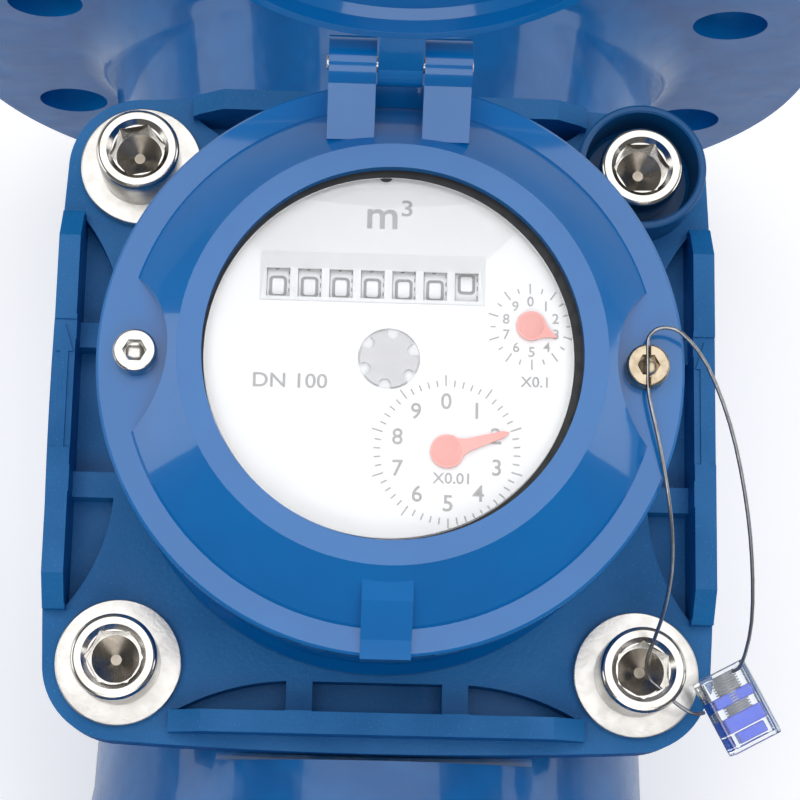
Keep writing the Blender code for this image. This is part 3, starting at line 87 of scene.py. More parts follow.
class NodeBench:
    """Adds and joins the nodes of one tree."""

    def __init__(self, tree: bpy.types.NodeTree) -> None:
        """Keeps the tree."""
        self.tree = tree

    def node(self, kind: str, **settings: object) -> bpy.types.Node:
        """Adds a node and sets its attributes.

        Args:
            kind: Blender's name of the node type.
            **settings: Attributes to set on it.

        Returns:
            The new node.
        """
        made = self.tree.nodes.new(kind)
        for key, value in settings.items():
            setattr(made, key, value)
        return made

    def link(self, start: bpy.types.NodeSocket, end: bpy.types.NodeSocket) -> None:
        """Joins two sockets."""
        self.tree.links.new(start, end)

    def math(self, operation: str, a: bpy.types.NodeSocket | float,
             b: bpy.types.NodeSocket | float) -> bpy.types.NodeSocket:
        """Adds a math node.

        Args:
            operation: Blender's name of the operation.
            a: First value.
            b: Second value.

        Returns:
            The result socket.
        """
        made = self.node("ShaderNodeMath", operation=operation)
        for slot_socket, value in zip(made.inputs, (a, b)):
            if isinstance(value, (int, float)):
                slot_socket.default_value = value
            else:
                self.link(value, slot_socket)
        return made.outputs[0]

    def blend(self, factor: bpy.types.NodeSocket, first: bpy.types.NodeSocket,
              second: bpy.types.NodeSocket) -> bpy.types.NodeSocket:
        """Adds a mix of two shaders and returns its result."""
        made = self.node("ShaderNodeMixShader")
        for start, end in zip((factor, first, second), made.inputs):
            self.link(start, end)
        return made.outputs[0]

    def background(self, level: float) -> bpy.types.NodeSocket:
        """Adds a white background of one strength and returns its shader."""
        made = self.node("ShaderNodeBackground")
        made.inputs["Color"].default_value = (1.0, 1.0, 1.0, 1.0)
        made.inputs["Strength"].default_value = level
        return made.outputs[0]

    def tint(self, mask: bpy.types.NodeSocket, colour: Colour,
             under: Colour | bpy.types.NodeSocket) -> bpy.types.NodeSocket:
        """Lays a colour over another colour or a socket where a mask is full."""
        made = self.node("ShaderNodeMix", data_type="RGBA")
        self.link(mask, made.inputs["Factor"])
        made.inputs["B"].default_value = (*colour, 1.0)
        if isinstance(under, tuple):
            made.inputs["A"].default_value = (*under, 1.0)
        else:
            self.link(under, made.inputs["A"])
        return made.outputs["Result"]

    def spread(self, mask: bpy.types.NodeSocket, low: float, high: float) -> bpy.types.NodeSocket:
        """Maps a mask of 0 to 1 to another range."""
        made = self.node("ShaderNodeMapRange")
        made.inputs["To Min"].default_value = low
        made.inputs["To Max"].default_value = high
        self.link(mask, made.inputs["Value"])
        return made.outputs["Result"]


class GroupBuilder(NodeBench):
    """Builds one shader node group with named sockets."""

    def __init__(self, name: str, inputs: dict[str, float], outputs: Sequence[str]) -> None:
        """Starts an empty group.

        Args:
            name: Name of the group.
            inputs: Float inputs and their starting values.
            outputs: Names of the float outputs.
        """
        super().__init__(bpy.data.node_groups.new(name, "ShaderNodeTree"))
        for label, value in inputs.items():
            socket = self.tree.interface.new_socket(name=label, in_out="INPUT", socket_type="NodeSocketFloat")
            socket.default_value = value
        for label in outputs:
            self.tree.interface.new_socket(name=label, in_out="OUTPUT", socket_type="NodeSocketFloat")
        self.source = self.tree.nodes.new("NodeGroupInput")
        self.sink = self.tree.nodes.new("NodeGroupOutput")

    def noise(self, coordinates: bpy.types.NodeSocket, scale: bpy.types.NodeSocket | float,
              detail: float) -> bpy.types.NodeSocket:
        """Adds a noise texture.

        Args:
            coordinates: Socket with the position to read.
            scale: Socket or number that sets the scale.
            detail: Number of octaves.

        Returns:
            The factor socket.
        """
        tex = self.node("ShaderNodeTexNoise")
        tex.inputs["Detail"].default_value = detail
        if isinstance(scale, float):
            tex.inputs["Scale"].default_value = scale
        else:
            self.link(scale, tex.inputs["Scale"])
        self.link(coordinates, tex.inputs["Vector"])
        return tex.outputs["Fac"]

    def ramp(self, value: bpy.types.NodeSocket, low: float, high: float) -> bpy.types.NodeSocket:
        """Maps a value from a range to 0 to 1, smoothly.

        Args:
            value: Socket to map.
            low: Value that gives 0.
            high: Value that gives 1.

        Returns:
            The mapped socket.
        """
        made = self.node("ShaderNodeMapRange", interpolation_type="SMOOTHSTEP")
        self.link(value, made.inputs["Value"])
        made.inputs["From Min"].default_value = low
        made.inputs["From Max"].default_value = high
        return made.outputs["Result"]


class SharedEffects:
    """Node groups that several finishes use."""

    def __init__(self) -> None:
        """Builds each group once."""
        self.enamel = self._enamel()
        self.grain = self._grain()
        self.turned = self._turned()
        self.scuff = self._scuff()

    @staticmethod
    def _enamel() -> bpy.types.NodeTree:
        """Returns a group for paint that has flowed: slow waves, small specks and drifting tone."""
        group = GroupBuilder("flowed_enamel", {"Wave Scale": 60.0, "Speck Scale": 900.0},
                             ("Height", "Tone", "Speck"))
        place = group.node("ShaderNodeTexCoord").outputs["Object"]
        waves = group.noise(place, group.source.outputs["Wave Scale"], 2.0)
        fine = group.noise(place, group.source.outputs["Speck Scale"], 1.0)
        group.link(waves, group.sink.inputs["Height"])
        group.link(group.ramp(waves, 0.3, 0.7), group.sink.inputs["Tone"])
        group.link(group.ramp(fine, 0.66, 0.8), group.sink.inputs["Speck"])
        return group.tree

    @staticmethod
    def _grain() -> bpy.types.NodeTree:
        """Returns a group for the sandy skin of a painted iron casting."""
        group = GroupBuilder("casting_grain", {"Grain Scale": 700.0, "Patch Scale": 40.0},
                             ("Height", "Speck", "Patch"))
        place = group.node("ShaderNodeTexCoord").outputs["Object"]
        coarse = group.noise(place, group.source.outputs["Grain Scale"], 3.0)
        finer = group.noise(place, group.math("MULTIPLY", group.source.outputs["Grain Scale"], 2.3), 2.0)
        patch = group.noise(place, group.source.outputs["Patch Scale"], 3.0)
        group.link(group.math("ADD", coarse, group.math("MULTIPLY", finer, 0.5)), group.sink.inputs["Height"])
        group.link(group.ramp(finer, 0.6, 0.74), group.sink.inputs["Speck"])
        group.link(group.ramp(patch, 0.35, 0.7), group.sink.inputs["Patch"])
        return group.tree

    @staticmethod
    def _turned() -> bpy.types.NodeTree:
        """Returns a group for fine machining marks and blotches on a plated part."""
        group = GroupBuilder("turning_marks", {"Line Scale": 2600.0, "Blotch Scale": 160.0},
                             ("Height", "Blotch"))
        place = group.node("ShaderNodeTexCoord").outputs["Object"]
        blotch = group.noise(place, group.source.outputs["Blotch Scale"], 4.0)
        lines = group.noise(place, group.source.outputs["Line Scale"], 2.0)
        group.link(lines, group.sink.inputs["Height"])
        group.link(group.ramp(blotch, 0.35, 0.7), group.sink.inputs["Blotch"])
        return group.tree

    @staticmethod
    def _scuff() -> bpy.types.NodeTree:
        """Returns a group for faint smears on moulded plastic and rubber."""
        group = GroupBuilder("light_scuff", {"Scuff Scale": 220.0}, ("Height", "Smear"))
        place = group.node("ShaderNodeTexCoord").outputs["Object"]
        smear = group.noise(place, group.source.outputs["Scuff Scale"], 5.0)
        group.link(smear, group.sink.inputs["Height"])
        group.link(group.ramp(smear, 0.4, 0.7), group.sink.inputs["Smear"])
        return group.tree


@dataclass(frozen=True)
class Finish:
    """A surface finish whose colour, roughness and relief vary through one shared effect.

    Attributes:
        name: Material name.
        colour: Main linear colour.
        second: Colour where the tone mask is full.
        roughness: Roughness at an empty mask.
        rough_more: Roughness added at a full mask.
        effect: Name of the shared effect.
        mask: Output of the effect that drives the tone.
        inputs: Values of the effect's inputs.
        bump: Depth of the relief in millimetres.
        metallic: Metallic value.
        coat: Coat weight.
        coat_roughness: Coat roughness.
        ior: Index of refraction.
        speck: Colour of the specks, if the effect has them.
    """

    name: str
    colour: Colour
    second: Colour
    roughness: float
    rough_more: float
    effect: str
    mask: str
    inputs: tuple[tuple[str, float], ...] = ()
    bump: float = 0.0
    metallic: float = 0.0
    coat: float = 0.0
    coat_roughness: float = 0.03
    ior: float = 1.5
    speck: Colour | None = None

    def build(self, effects: SharedEffects) -> bpy.types.Material:
        """Makes the material.

        Args:
            effects: The shared node groups.

        Returns:
            The new material.
        """
        mat = bpy.data.materials.new(self.name)
        mat.use_nodes = True
        shop = NodeBench(mat.node_tree)
        shader = mat.node_tree.nodes["Principled BSDF"]
        shader.inputs["Metallic"].default_value = self.metallic
        shader.inputs["Coat Weight"].default_value = self.coat
        shader.inputs["Coat Roughness"].default_value = self.coat_roughness
        shader.inputs["IOR"].default_value = self.ior
        group = shop.node("ShaderNodeGroup", node_tree=getattr(effects, self.effect))
        for label, value in self.inputs:
            group.inputs[label].default_value = value
        mask = group.outputs[self.mask]
        tone = shop.tint(mask, self.second, self.colour)
        if self.speck is not None:
            tone = shop.tint(group.outputs["Speck"], self.speck, tone)
        shop.link(tone, shader.inputs["Base Color"])
        rough = shop.spread(mask, self.roughness, self.roughness + self.rough_more)
        shop.link(rough, shader.inputs["Roughness"])
        if self.bump:
            relief = shop.node("ShaderNodeBump")
            relief.inputs["Distance"].default_value = self.bump * MM
            relief.inputs["Strength"].default_value = 1.0
            shop.link(group.outputs["Height"], relief.inputs["Height"])
            shop.link(relief.outputs["Normal"], shader.inputs["Normal"])
        mat.diffuse_color = (*self.colour, 1.0)
        return mat


@dataclass(frozen=True)
class ClearFinish:
    """A clear solid that lets lamps shine through it onto what lies behind.

    Attributes:
        name: Material name.
        colour: Tint of the light that passes.
        roughness: Surface roughness.
        ior: Index of refraction.
    """

    name: str
    colour: Colour
    roughness: float
    ior: float

    def build(self, effects: SharedEffects) -> bpy.types.Material:
        """Makes the material.

        Args:
            effects: The shared node groups.

        Returns:
            The new material.
        """
        mat = bpy.data.materials.new(self.name)
        mat.use_nodes = True
        shop, nodes = NodeBench(mat.node_tree), mat.node_tree.nodes
        shader = nodes["Principled BSDF"]
        shader.inputs["Base Color"].default_value = (*self.colour, 1.0)
        shader.inputs["IOR"].default_value = self.ior
        shader.inputs["Transmission Weight"].default_value = 1.0
        group = shop.node("ShaderNodeGroup", node_tree=effects.scuff)
        rough = shop.spread(group.outputs["Smear"], self.roughness, self.roughness + 0.02)
        shop.link(rough, shader.inputs["Roughness"])
        through = shop.node("ShaderNodeBsdfTransparent")
        through.inputs["Color"].default_value = (*self.colour, 1.0)
        shadow = shop.node("ShaderNodeLightPath").outputs["Is Shadow Ray"]
        surface = shop.blend(shadow, shader.outputs["BSDF"], through.outputs["BSDF"])
        shop.link(surface, nodes["Material Output"].inputs["Surface"])
        mat.diffuse_color = (*self.colour, 0.3)
        return mat


def enamel_finish(name: str, colour: Colour, second: Colour, rough: Pair, bump: float, coat: Pair, ior: float,
                  scales: Pair = (55.0, 1500.0)) -> Finish:
    """Describes paint that has flowed.

    Args:
        name: Material name.
        colour: Main linear colour.
        second: Colour in the slow waves.
        rough: Roughness, and what the waves add to it.
        bump: Depth of the relief in millimetres.
        coat: Weight and roughness of the coat.
        ior: Index of refraction.
        scales: Scale of the waves and of the specks.

    Returns:
        The finish.
    """
    inputs = (("Wave Scale", scales[0]), ("Speck Scale", scales[1]))
    return Finish(name, colour, second, *rough, "enamel", "Tone", inputs, bump, coat=coat[0],
                  coat_roughness=coat[1], ior=ior)


def metal_finish(name: str, colour: Colour, second: Colour, rough: Pair, scales: Pair, bump: float) -> Finish:
    """Describes bright metal; scales are those of its turning marks and of its blotches."""
    inputs = (("Line Scale", scales[0]), ("Blotch Scale", scales[1]))
    return Finish(name, colour, second, *rough, "turned", "Blotch", inputs, bump, metallic=1.0)


def plain_finish(name: str, colour: Colour, second: Colour, rough: Pair, scale: float = 300.0,
                 bump: float = 0.0) -> Finish:
    """Describes moulded plastic, rubber or print with faint smears of one scale."""
    return Finish(name, colour, second, *rough, "scuff", "Smear", (("Scuff Scale", scale),), bump)


HEAD_ENAMEL = enamel_finish("head_enamel", (0.0012, 0.150, 0.470), (0.001, 0.138, 0.440), (0.22, 0.05), 0.05,
                            (1.0, 0.06), 1.3)
HOUSING_ENAMEL = enamel_finish("housing_enamel", (0.001, 0.110, 0.370), (0.001, 0.098, 0.340), (0.26, 0.06),
                               0.05, (0.6, 0.12), 1.3)
BODY_ENAMEL = enamel_finish("body_enamel", (0.0014, 0.160, 0.480), (0.001, 0.130, 0.410), (0.18, 0.08), 0.5,
                            (0.5, 0.05), 1.35, (95.0, 1200.0))
CUP_ENAMEL = enamel_finish("cup_enamel", (0.001, 0.085, 0.260), (0.0008, 0.072, 0.230), (0.38, 0.10), 0.03,
                           (0.1, 0.3), 1.38)
COVER_ENAMEL = Finish("cover_enamel", (0.002, 0.145, 0.410), (0.0014, 0.120, 0.350), 0.42, 0.14, "grain",
                      "Patch", (("Grain Scale", 900.0), ("Patch Scale", 45.0)), 0.10, ior=1.38,
                      speck=(0.012, 0.19, 0.48))
PLATED_STEEL = metal_finish("plated_steel", (0.66, 0.64, 0.61), (0.58, 0.555, 0.52), (0.13, 0.09),
                            (900.0, 260.0), 0.012)
WASHER_STEEL = metal_finish("washer_steel", (0.68, 0.665, 0.64), (0.65, 0.63, 0.60), (0.28, 0.05),
                            (1400.0, 420.0), 0.03)
# Darker steel for the socket floors: painted shade at the bottom of the bolts' hex sockets.
SOCKET_SHADE_STEEL = metal_finish("socket_shade_steel", (0.36, 0.32, 0.27), (0.28, 0.245, 0.20), (0.24, 0.10),
                            (900.0, 260.0), 0.012)
CHAMPAGNE_STEEL = metal_finish("champagne_steel", (0.50, 0.42, 0.31), (0.42, 0.34, 0.24), (0.22, 0.12),
                               (1600.0, 500.0), 0.02)
WIRE_STEEL = metal_finish("wire_steel", (0.44, 0.44, 0.45), (0.36, 0.36, 0.37), (0.28, 0.15),
                          (2600.0, 900.0), 0.01)
CAN_COPPER = metal_finish("can_copper", (0.56, 0.36, 0.24), (0.46, 0.29, 0.19), (0.28, 0.14),
                          (900.0, 120.0), 0.01)
BLACK_RUBBER = plain_finish("black_rubber", (0.006, 0.006, 0.007), (0.012, 0.012, 0.013), (0.42, 0.2), 500.0,
                            0.01)
DIAL_WHITE = plain_finish("dial_white", (0.755, 0.765, 0.785), (0.74, 0.75, 0.775), (0.5, 0.1), 30.0)
DRUM_WHITE = plain_finish("drum_white", (0.86, 0.87, 0.89), (0.84, 0.85, 0.87), (0.45, 0.1), 600.0, 0.005)
PRINT_GREY = plain_finish("print_grey", (0.27, 0.27, 0.28), (0.31, 0.31, 0.32), (0.6, 0.1))
DIGIT_GREY = plain_finish("digit_grey", (0.22, 0.22, 0.23), (0.26, 0.26, 0.27), (0.6, 0.1))
# Light grey of the number panel, made darker as painted shade of the recessed band and its slope.
PANEL_GREY_AND_SHADE = plain_finish("panel_grey_and_shade", (0.68, 0.69, 0.71), (0.66, 0.67, 0.69), (0.55, 0.1))
STAR_GREY = plain_finish("star_grey", (0.44, 0.44, 0.46), (0.48, 0.48, 0.50), (0.4, 0.1))
POINTER_RED = plain_finish("pointer_red", (0.78, 0.29, 0.26), (0.75, 0.26, 0.23), (0.4, 0.1))
MOVEMENT_GREY = plain_finish("movement_grey", (0.42, 0.43, 0.44), (0.36, 0.37, 0.38), (0.4, 0.15), 200.0,
                             0.01)
INSERT_GREY = plain_finish("insert_grey", (0.085, 0.09, 0.10), (0.06, 0.065, 0.07), (0.38, 0.2), 120.0, 0.03)
ROTOR_WHITE = plain_finish("rotor_white", (0.70, 0.71, 0.72), (0.62, 0.63, 0.64), (0.36, 0.15), 120.0, 0.02)
MAGNET_DARK = plain_finish("magnet_dark", (0.10, 0.10, 0.11), (0.07, 0.07, 0.08), (0.4, 0.2), 300.0, 0.02)
WINDER_BLUE = plain_finish("winder_blue", (0.006, 0.075, 0.72), (0.01, 0.10, 0.80), (0.2, 0.1), 300.0, 0.005)
BARREL_GREY = plain_finish("barrel_grey", (0.42, 0.43, 0.45), (0.36, 0.37, 0.39), (0.25, 0.1), 300.0, 0.005)
WINDOW_GLASS = ClearFinish("window_glass_clear", (1.0, 1.0, 1.0), 0.0, 1.5)
SEAL_CLEAR = ClearFinish("seal_clear_plastic", (0.93, 0.95, 0.97), 0.05, 1.45)


class Finishes:
    """Builds each finish once and hands it out."""

    def __init__(self) -> None:
        """Builds the shared effects."""
        self.effects = SharedEffects()
        self.made: dict[str, bpy.types.Material] = {}

    def get(self, finish: Finish | ClearFinish) -> bpy.types.Material:
        """Returns the material of a finish, made at its first use."""
        if finish.name not in self.made:
            self.made[finish.name] = finish.build(self.effects)
        return self.made[finish.name]

    def dress(self, obj: bpy.types.Object, finish: Finish | ClearFinish) -> bpy.types.Object:
        """Puts one finish on the whole of an object."""
        obj.data.materials.clear()
        obj.data.materials.append(self.get(finish))
        return obj


def turned_mesh(profile: Profile, segments: int, axis: Axis = Axis.Z,
                centre: Point = (0.0, 0.0, 0.0)) -> bmesh.types.BMesh:
    """Revolves a closed profile.

    Args:
        profile: (radius, height) points of a closed loop.
        segments: Steps round the axis.
        axis: Axis to turn round.
        centre: Where the profile's height 0 lies.

    Returns:
        A closed mesh in millimetres.
    """
    bm = bmesh.new()
    rings = []
    for r, h in profile:
        if r < 1e-6:
            rings.append([bm.verts.new((0.0, 0.0, h))])
            continue
        angles = [2.0 * math.pi * (i + 0.5) / segments for i in range(segments)]
        rings.append([bm.verts.new((r * math.cos(a), r * math.sin(a), h)) for a in angles])
    for lower, upper in zip(rings, rings[1:] + rings[:1]):
        if len(lower) == 1 and len(upper) == 1:
            continue
        for i in range(segments):
            j = (i + 1) % segments
            corners = [ring[k % len(ring)] for ring, k in ((lower, i), (lower, j), (upper, j), (upper, i))]
            bm.faces.new([v for k, v in enumerate(corners) if v not in corners[:k]])
    if axis is Axis.Y:
        bmesh.ops.transform(bm, matrix=Matrix.Rotation(-math.pi / 2.0, 4, "X"), verts=bm.verts)
    elif axis is Axis.X:
        bmesh.ops.transform(bm, matrix=Matrix.Rotation(math.pi / 2.0, 4, "Y"), verts=bm.verts)
    bmesh.ops.translate(bm, verts=bm.verts, vec=centre)
    return bm


def rod_mesh(radius: float, low: float, high: float, segments: int, axis: Axis = Axis.Z,
             centre: Point = (0.0, 0.0, 0.0), rounding: float = 0.0) -> bmesh.types.BMesh:
    """Makes a cylinder, its ends rounded if asked.

    Args:
        radius: Outer radius.
        low: Start along the axis.
        high: End along the axis.
        segments: Steps round the axis.
        axis: Axis to turn round.
        centre: Origin of the axis.
        rounding: Radius of the rounded ends.

    Returns:
        A closed mesh in millimetres.
    """
    side = soft_corner(radius, low, rounding, 1.0) + soft_corner(radius, high, rounding, -1.0)
    return turned_mesh([(0.0, low), *side, (0.0, high)], segments, axis, centre)


def soft_corner(radius: float, height: float, rounding: float, inward: float, steps: int = 4) -> Profile:
    """Gives the profile points of an outer corner.

    Args:
        radius: Outer radius of the part.
        height: Height of the face at the corner.
        rounding: Radius of the corner, 0 for a sharp one.
        inward: 1 if the part lies above the face, -1 if below.
        steps: Steps of the arc.

    Returns:
        Points from the face to the side for inward 1, and from the side to the face for -1.
    """
    if rounding <= 0.0:
        return [(radius, height)]
    points = []
    for i in range(steps + 1):
        a = math.pi / 2.0 * i / steps
        points.append((radius - rounding * (1.0 - math.sin(a)),
                       height + inward * rounding * (1.0 - math.cos(a))))
    return points if inward > 0.0 else points[::-1]


def loft_mesh(sections: Sequence[Sequence[Point]]) -> bmesh.types.BMesh:
    """Joins closed sections of equal length with flat ends.

    Args:
        sections: Lists of points.

    Returns:
        A closed mesh in millimetres.
    """
    bm = bmesh.new()
    rings = [[bm.verts.new(p) for p in section] for section in sections]
    count = len(rings[0])
    for lower, upper in zip(rings, rings[1:]):
        for i in range(count):
            j = (i + 1) % count
            bm.faces.new((lower[i], lower[j], upper[j], upper[i]))
    bm.faces.new(rings[0][::-1])
    bm.faces.new(rings[-1])
    return bm


def prism_mesh(outline: Sequence[Pair], low: float, high: float) -> bmesh.types.BMesh:
    """Extrudes a plan outline between two heights."""
    return loft_mesh([[(x, y, low) for x, y in outline], [(x, y, high) for x, y in outline]])


def side_mesh(outline: Sequence[Pair], low: float, high: float) -> bmesh.types.BMesh:
    """Extrudes a (y, z) outline along X."""
    return loft_mesh([[(low, y, z) for y, z in outline], [(high, y, z) for y, z in outline]])


def gather(parts: Iterable[bmesh.types.BMesh]) -> bmesh.types.BMesh:
    """Puts several meshes into one; they are freed."""
    whole = bmesh.new()
    for part in parts:
        mesh = bpy.data.meshes.new("part")
        part.to_mesh(mesh)
        part.free()
        whole.from_mesh(mesh)
        bpy.data.meshes.remove(mesh)
    return whole


def placed(bm: bmesh.types.BMesh, spot: Point, turn: float = 0.0, axis: Axis = Axis.Z) -> bmesh.types.BMesh:
    """Turns a mesh about an axis through the origin, in degrees, then moves it."""
    matrix = Matrix.Translation(spot) @ Matrix.Rotation(math.radians(turn), 4, axis.value)
    bmesh.ops.transform(bm, matrix=matrix, verts=bm.verts)
    return bm


def box_mesh(low: Point, high: Point) -> bmesh.types.BMesh:
    """Makes a box from its lowest and highest corners."""
    plan = [(low[0], low[1]), (high[0], low[1]), (high[0], high[1]), (low[0], high[1])]
    return prism_mesh(plan, low[2], high[2])


def polar(radius: float, degrees: float, centre: Pair = (0.0, 0.0)) -> Pair:
    """Returns the point at a radius and an angle from a centre."""
    a = math.radians(degrees)
    return (centre[0] + radius * math.cos(a), centre[1] + radius * math.sin(a))


def arc(radius: float, start: float, end: float, steps: int, centre: Pair = (0.0, 0.0)) -> Profile:
    """Returns the points of an arc from one angle to another, ends included."""
    return [polar(radius, start + (end - start) * i / steps, centre) for i in range(steps + 1)]


def round_box(half_w: float, half_h: float, corner_r: float, steps: int) -> Profile:
    """Returns the outline of a rectangle with round corners."""
    x, y = half_w - corner_r, half_h - corner_r
    corners = ((x, y), (-x, y), (-x, -y), (x, -y))
    return [p for k, spot in enumerate(corners) for p in arc(corner_r, 90.0 * k, 90.0 * (k + 1), steps, spot)]


def rounded_square(half: float, corner_r: float, bow: float = 0.0, per_corner: int = 16,
                   per_side: int = 12) -> Profile:
    """Returns the outline of a square with round corners and slightly bowed sides.

    Args:
        half: Half of its width.
        corner_r: Corner radius.
        bow: How far the middle of a side stands out.
        per_corner: Steps of each corner.
        per_side: Steps of each side.

    Returns:
        Plan points, anticlockwise.
    """
    points = []
    centre = half - corner_r
    for k in range(4):
        cx = centre if k in (0, 3) else -centre
        cy = centre if k in (0, 1) else -centre
        points += arc(corner_r, 90.0 * k, 90.0 * (k + 1), per_corner, (cx, cy))
        nx, ny = polar(1.0, 90.0 * (k + 1))
        for i in range(1, per_side):
            t = 2.0 * i / per_side - 1.0
            side = centre * t
            out = half + bow * (1.0 - t * t)
            points.append((out * nx - side * ny, out * ny + side * nx))
    return points


def word_mesh(text: str, spot: Point, height: float, width: float = 0.0) -> bmesh.types.BMesh:
    """Makes flat letters whose middle lies at a spot.

    Args:
        text: The letters.
        spot: Middle of the letters.
        height: Their height.
        width: Their whole width, 0 to keep the font's shape.

    Returns:
        A thin mesh in millimetres.
    """
    curve = bpy.data.curves.new("letters", "FONT")
    curve.body = text
    curve.resolution_u = 5
    curve.extrude = PRINT_T / 2.0
    curve.offset = 0.012
    holder = bpy.data.objects.new("letters", curve)
    bpy.context.scene.collection.objects.link(holder)
    bm = bmesh.new()
    bm.from_mesh(holder.evaluated_get(bpy.context.evaluated_depsgraph_get()).to_mesh())
    bpy.data.objects.remove(holder, do_unlink=True)
    bpy.data.curves.remove(curve)
    low = [min(v.co[i] for v in bm.verts) for i in (0, 1)]
    high = [max(v.co[i] for v in bm.verts) for i in (0, 1)]
    bmesh.ops.translate(bm, verts=bm.verts, vec=(-(low[0] + high[0]) / 2.0, -(low[1] + high[1]) / 2.0, 0.0))
    tall = height / (high[1] - low[1])
    wide = width / (high[0] - low[0]) if width else tall
    bmesh.ops.scale(bm, vec=(wide, tall, 1.0), verts=bm.verts)
    bmesh.ops.translate(bm, verts=bm.verts, vec=spot)
    return bm


def below(node: str, height: float) -> bmesh.types.BMesh:
    """Copies the part of a frame node that lies below a height, closed at the cut."""
    bm = bmesh.new()
    bm.from_mesh(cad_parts[node].data)
    bmesh.ops.scale(bm, vec=(1.0 / MM, 1.0 / MM, 1.0 / MM), verts=bm.verts)
    bmesh.ops.remove_doubles(bm, verts=bm.verts, dist=WELD)
    everything = bm.verts[:] + bm.edges[:] + bm.faces[:]
    bmesh.ops.bisect_plane(bm, geom=everything, plane_co=(0.0, 0.0, height), plane_no=(0.0, 0.0, 1.0),
                           clear_outer=True)
    bmesh.ops.holes_fill(bm, edges=[e for e in bm.edges if e.is_boundary])
    return bm


def carve(bm: bmesh.types.BMesh, others: Iterable[bmesh.types.BMesh], operation: str) -> bmesh.types.BMesh:
    """Applies exact Booleans one after the other.

    Args:
        bm: Mesh to work on; it is freed.
        others: Meshes to add or take away; they are freed.
        operation: UNION or DIFFERENCE.

    Returns:
        The new mesh.
    """
    holders = []
    for mesh_data in [bm, *others]:
        bmesh.ops.recalc_face_normals(mesh_data, faces=mesh_data.faces)
        mesh = bpy.data.meshes.new("work")
        mesh_data.to_mesh(mesh)
        mesh_data.free()
        obj = bpy.data.objects.new("work", mesh)
        bpy.context.scene.collection.objects.link(obj)
        holders.append(obj)
    host = holders[0]
    for tool in holders[1:]:
        step = host.modifiers.new("step", "BOOLEAN")
        step.operation = operation
        step.solver = "EXACT"
        step.object = tool
    result = bmesh.new()
    result.from_mesh(host.evaluated_get(bpy.context.evaluated_depsgraph_get()).to_mesh())
    for obj in holders:
        bpy.data.objects.remove(obj, do_unlink=True)
    bmesh.ops.remove_doubles(result, verts=result.verts, dist=WELD)
    bmesh.ops.dissolve_degenerate(result, edges=result.edges, dist=WELD)
    return result


def soften(obj: bpy.types.Object, width: float, angle: float = 30.0, segments: int = 3) -> bpy.types.Object:
    """Rounds an object's edges with a bevel.

    Args:
        obj: Mesh object in metres.
        width: Width of the rounding in millimetres.
        angle: Smallest angle between faces that is rounded, in degrees.
        segments: Steps of the rounding.

    Returns:
        The same object.
    """
    bevel = obj.modifiers.new("edges", "BEVEL")
    bevel.width = width * MM
    bevel.segments = segments
    bevel.limit_method = "ANGLE"
    bevel.angle_limit = math.radians(angle)
    bevel.use_clamp_overlap = True
    bevel.harden_normals = True
    return obj


class Bench:
    """Turns meshes into pieces of the meter that ride on its bodies."""

    def __init__(self, finishes: Finishes) -> None:
        """Keeps the finishes.

        Args:
            finishes: Where each material comes from.
        """
        self.finishes = finishes

    def piece(self, name: str, bm: bmesh.types.BMesh, body: str, finish: Finish | ClearFinish, slot: Slot,
              replaced: Sequence[str] = (), smooth_angle: float = 14.0) -> bpy.types.Object:
        """Makes one piece.

        Args:
            name: Name of the piece.
            bm: Mesh in millimetres in the frame's place; it is freed.
            body: Body that it rides on.
            finish: Its finish.
            slot: Its material slot in the record; not used.
            replaced: Frame nodes that it stands for.
            smooth_angle: Edges sharper than this stay sharp, in degrees.

        Returns:
            The new object.
        """
        bmesh.ops.recalc_face_normals(bm, faces=bm.faces)
        bmesh.ops.scale(bm, vec=(MM, MM, MM), verts=bm.verts)
        mesh = bpy.data.meshes.new(name)
        bm.to_mesh(mesh)
        bm.free()
        self.smooth(mesh, smooth_angle)
        obj = bpy.data.objects.new(name, mesh)
        bpy.context.scene.collection.objects.link(obj)
        self.finishes.dress(obj, finish)
        return self.fit(obj, body, slot, replaced)

    @staticmethod
    def fit(obj: bpy.types.Object, body: str, slot: Slot, replaced: Sequence[str] = ()) -> bpy.types.Object:
        """Puts a piece on its body and hides the frame nodes that it stands for."""
        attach(obj, body)
        if replaced:
            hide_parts(*replaced)
        LOG.info("made %s on %s", obj.name, body)
        return obj

    @staticmethod
    def smooth(mesh: bpy.types.Mesh, angle: float) -> None:
        """Shades a mesh smoothly except at its sharp edges."""
        mesh.polygons.foreach_set("use_smooth", [True] * len(mesh.polygons))
        mesh.set_sharp_from_angle(angle=math.radians(angle))

    def keep(self, node: str, finish: Finish | ClearFinish, bevel: float = 0.0,
             smooth_angle: float = 32.0) -> bpy.types.Object:
        """Dresses a node of the frame that is shown as it is.

        Args:
            node: Name of the node.
            finish: Its finish.
            bevel: Width of its rounded edges in millimetres, 0 for none.
            smooth_angle: Edges sharper than this stay sharp, in degrees.

        Returns:
            The node's object.
        """
        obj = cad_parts[node]
        self.finishes.dress(obj, finish)
        self.smooth(obj.data, smooth_angle)
        if bevel:
            weld = obj.modifiers.new("weld", "WELD")
            weld.merge_threshold = WELD * MM
            soften(obj, bevel)
        LOG.info("dressed %s", node)
        return obj


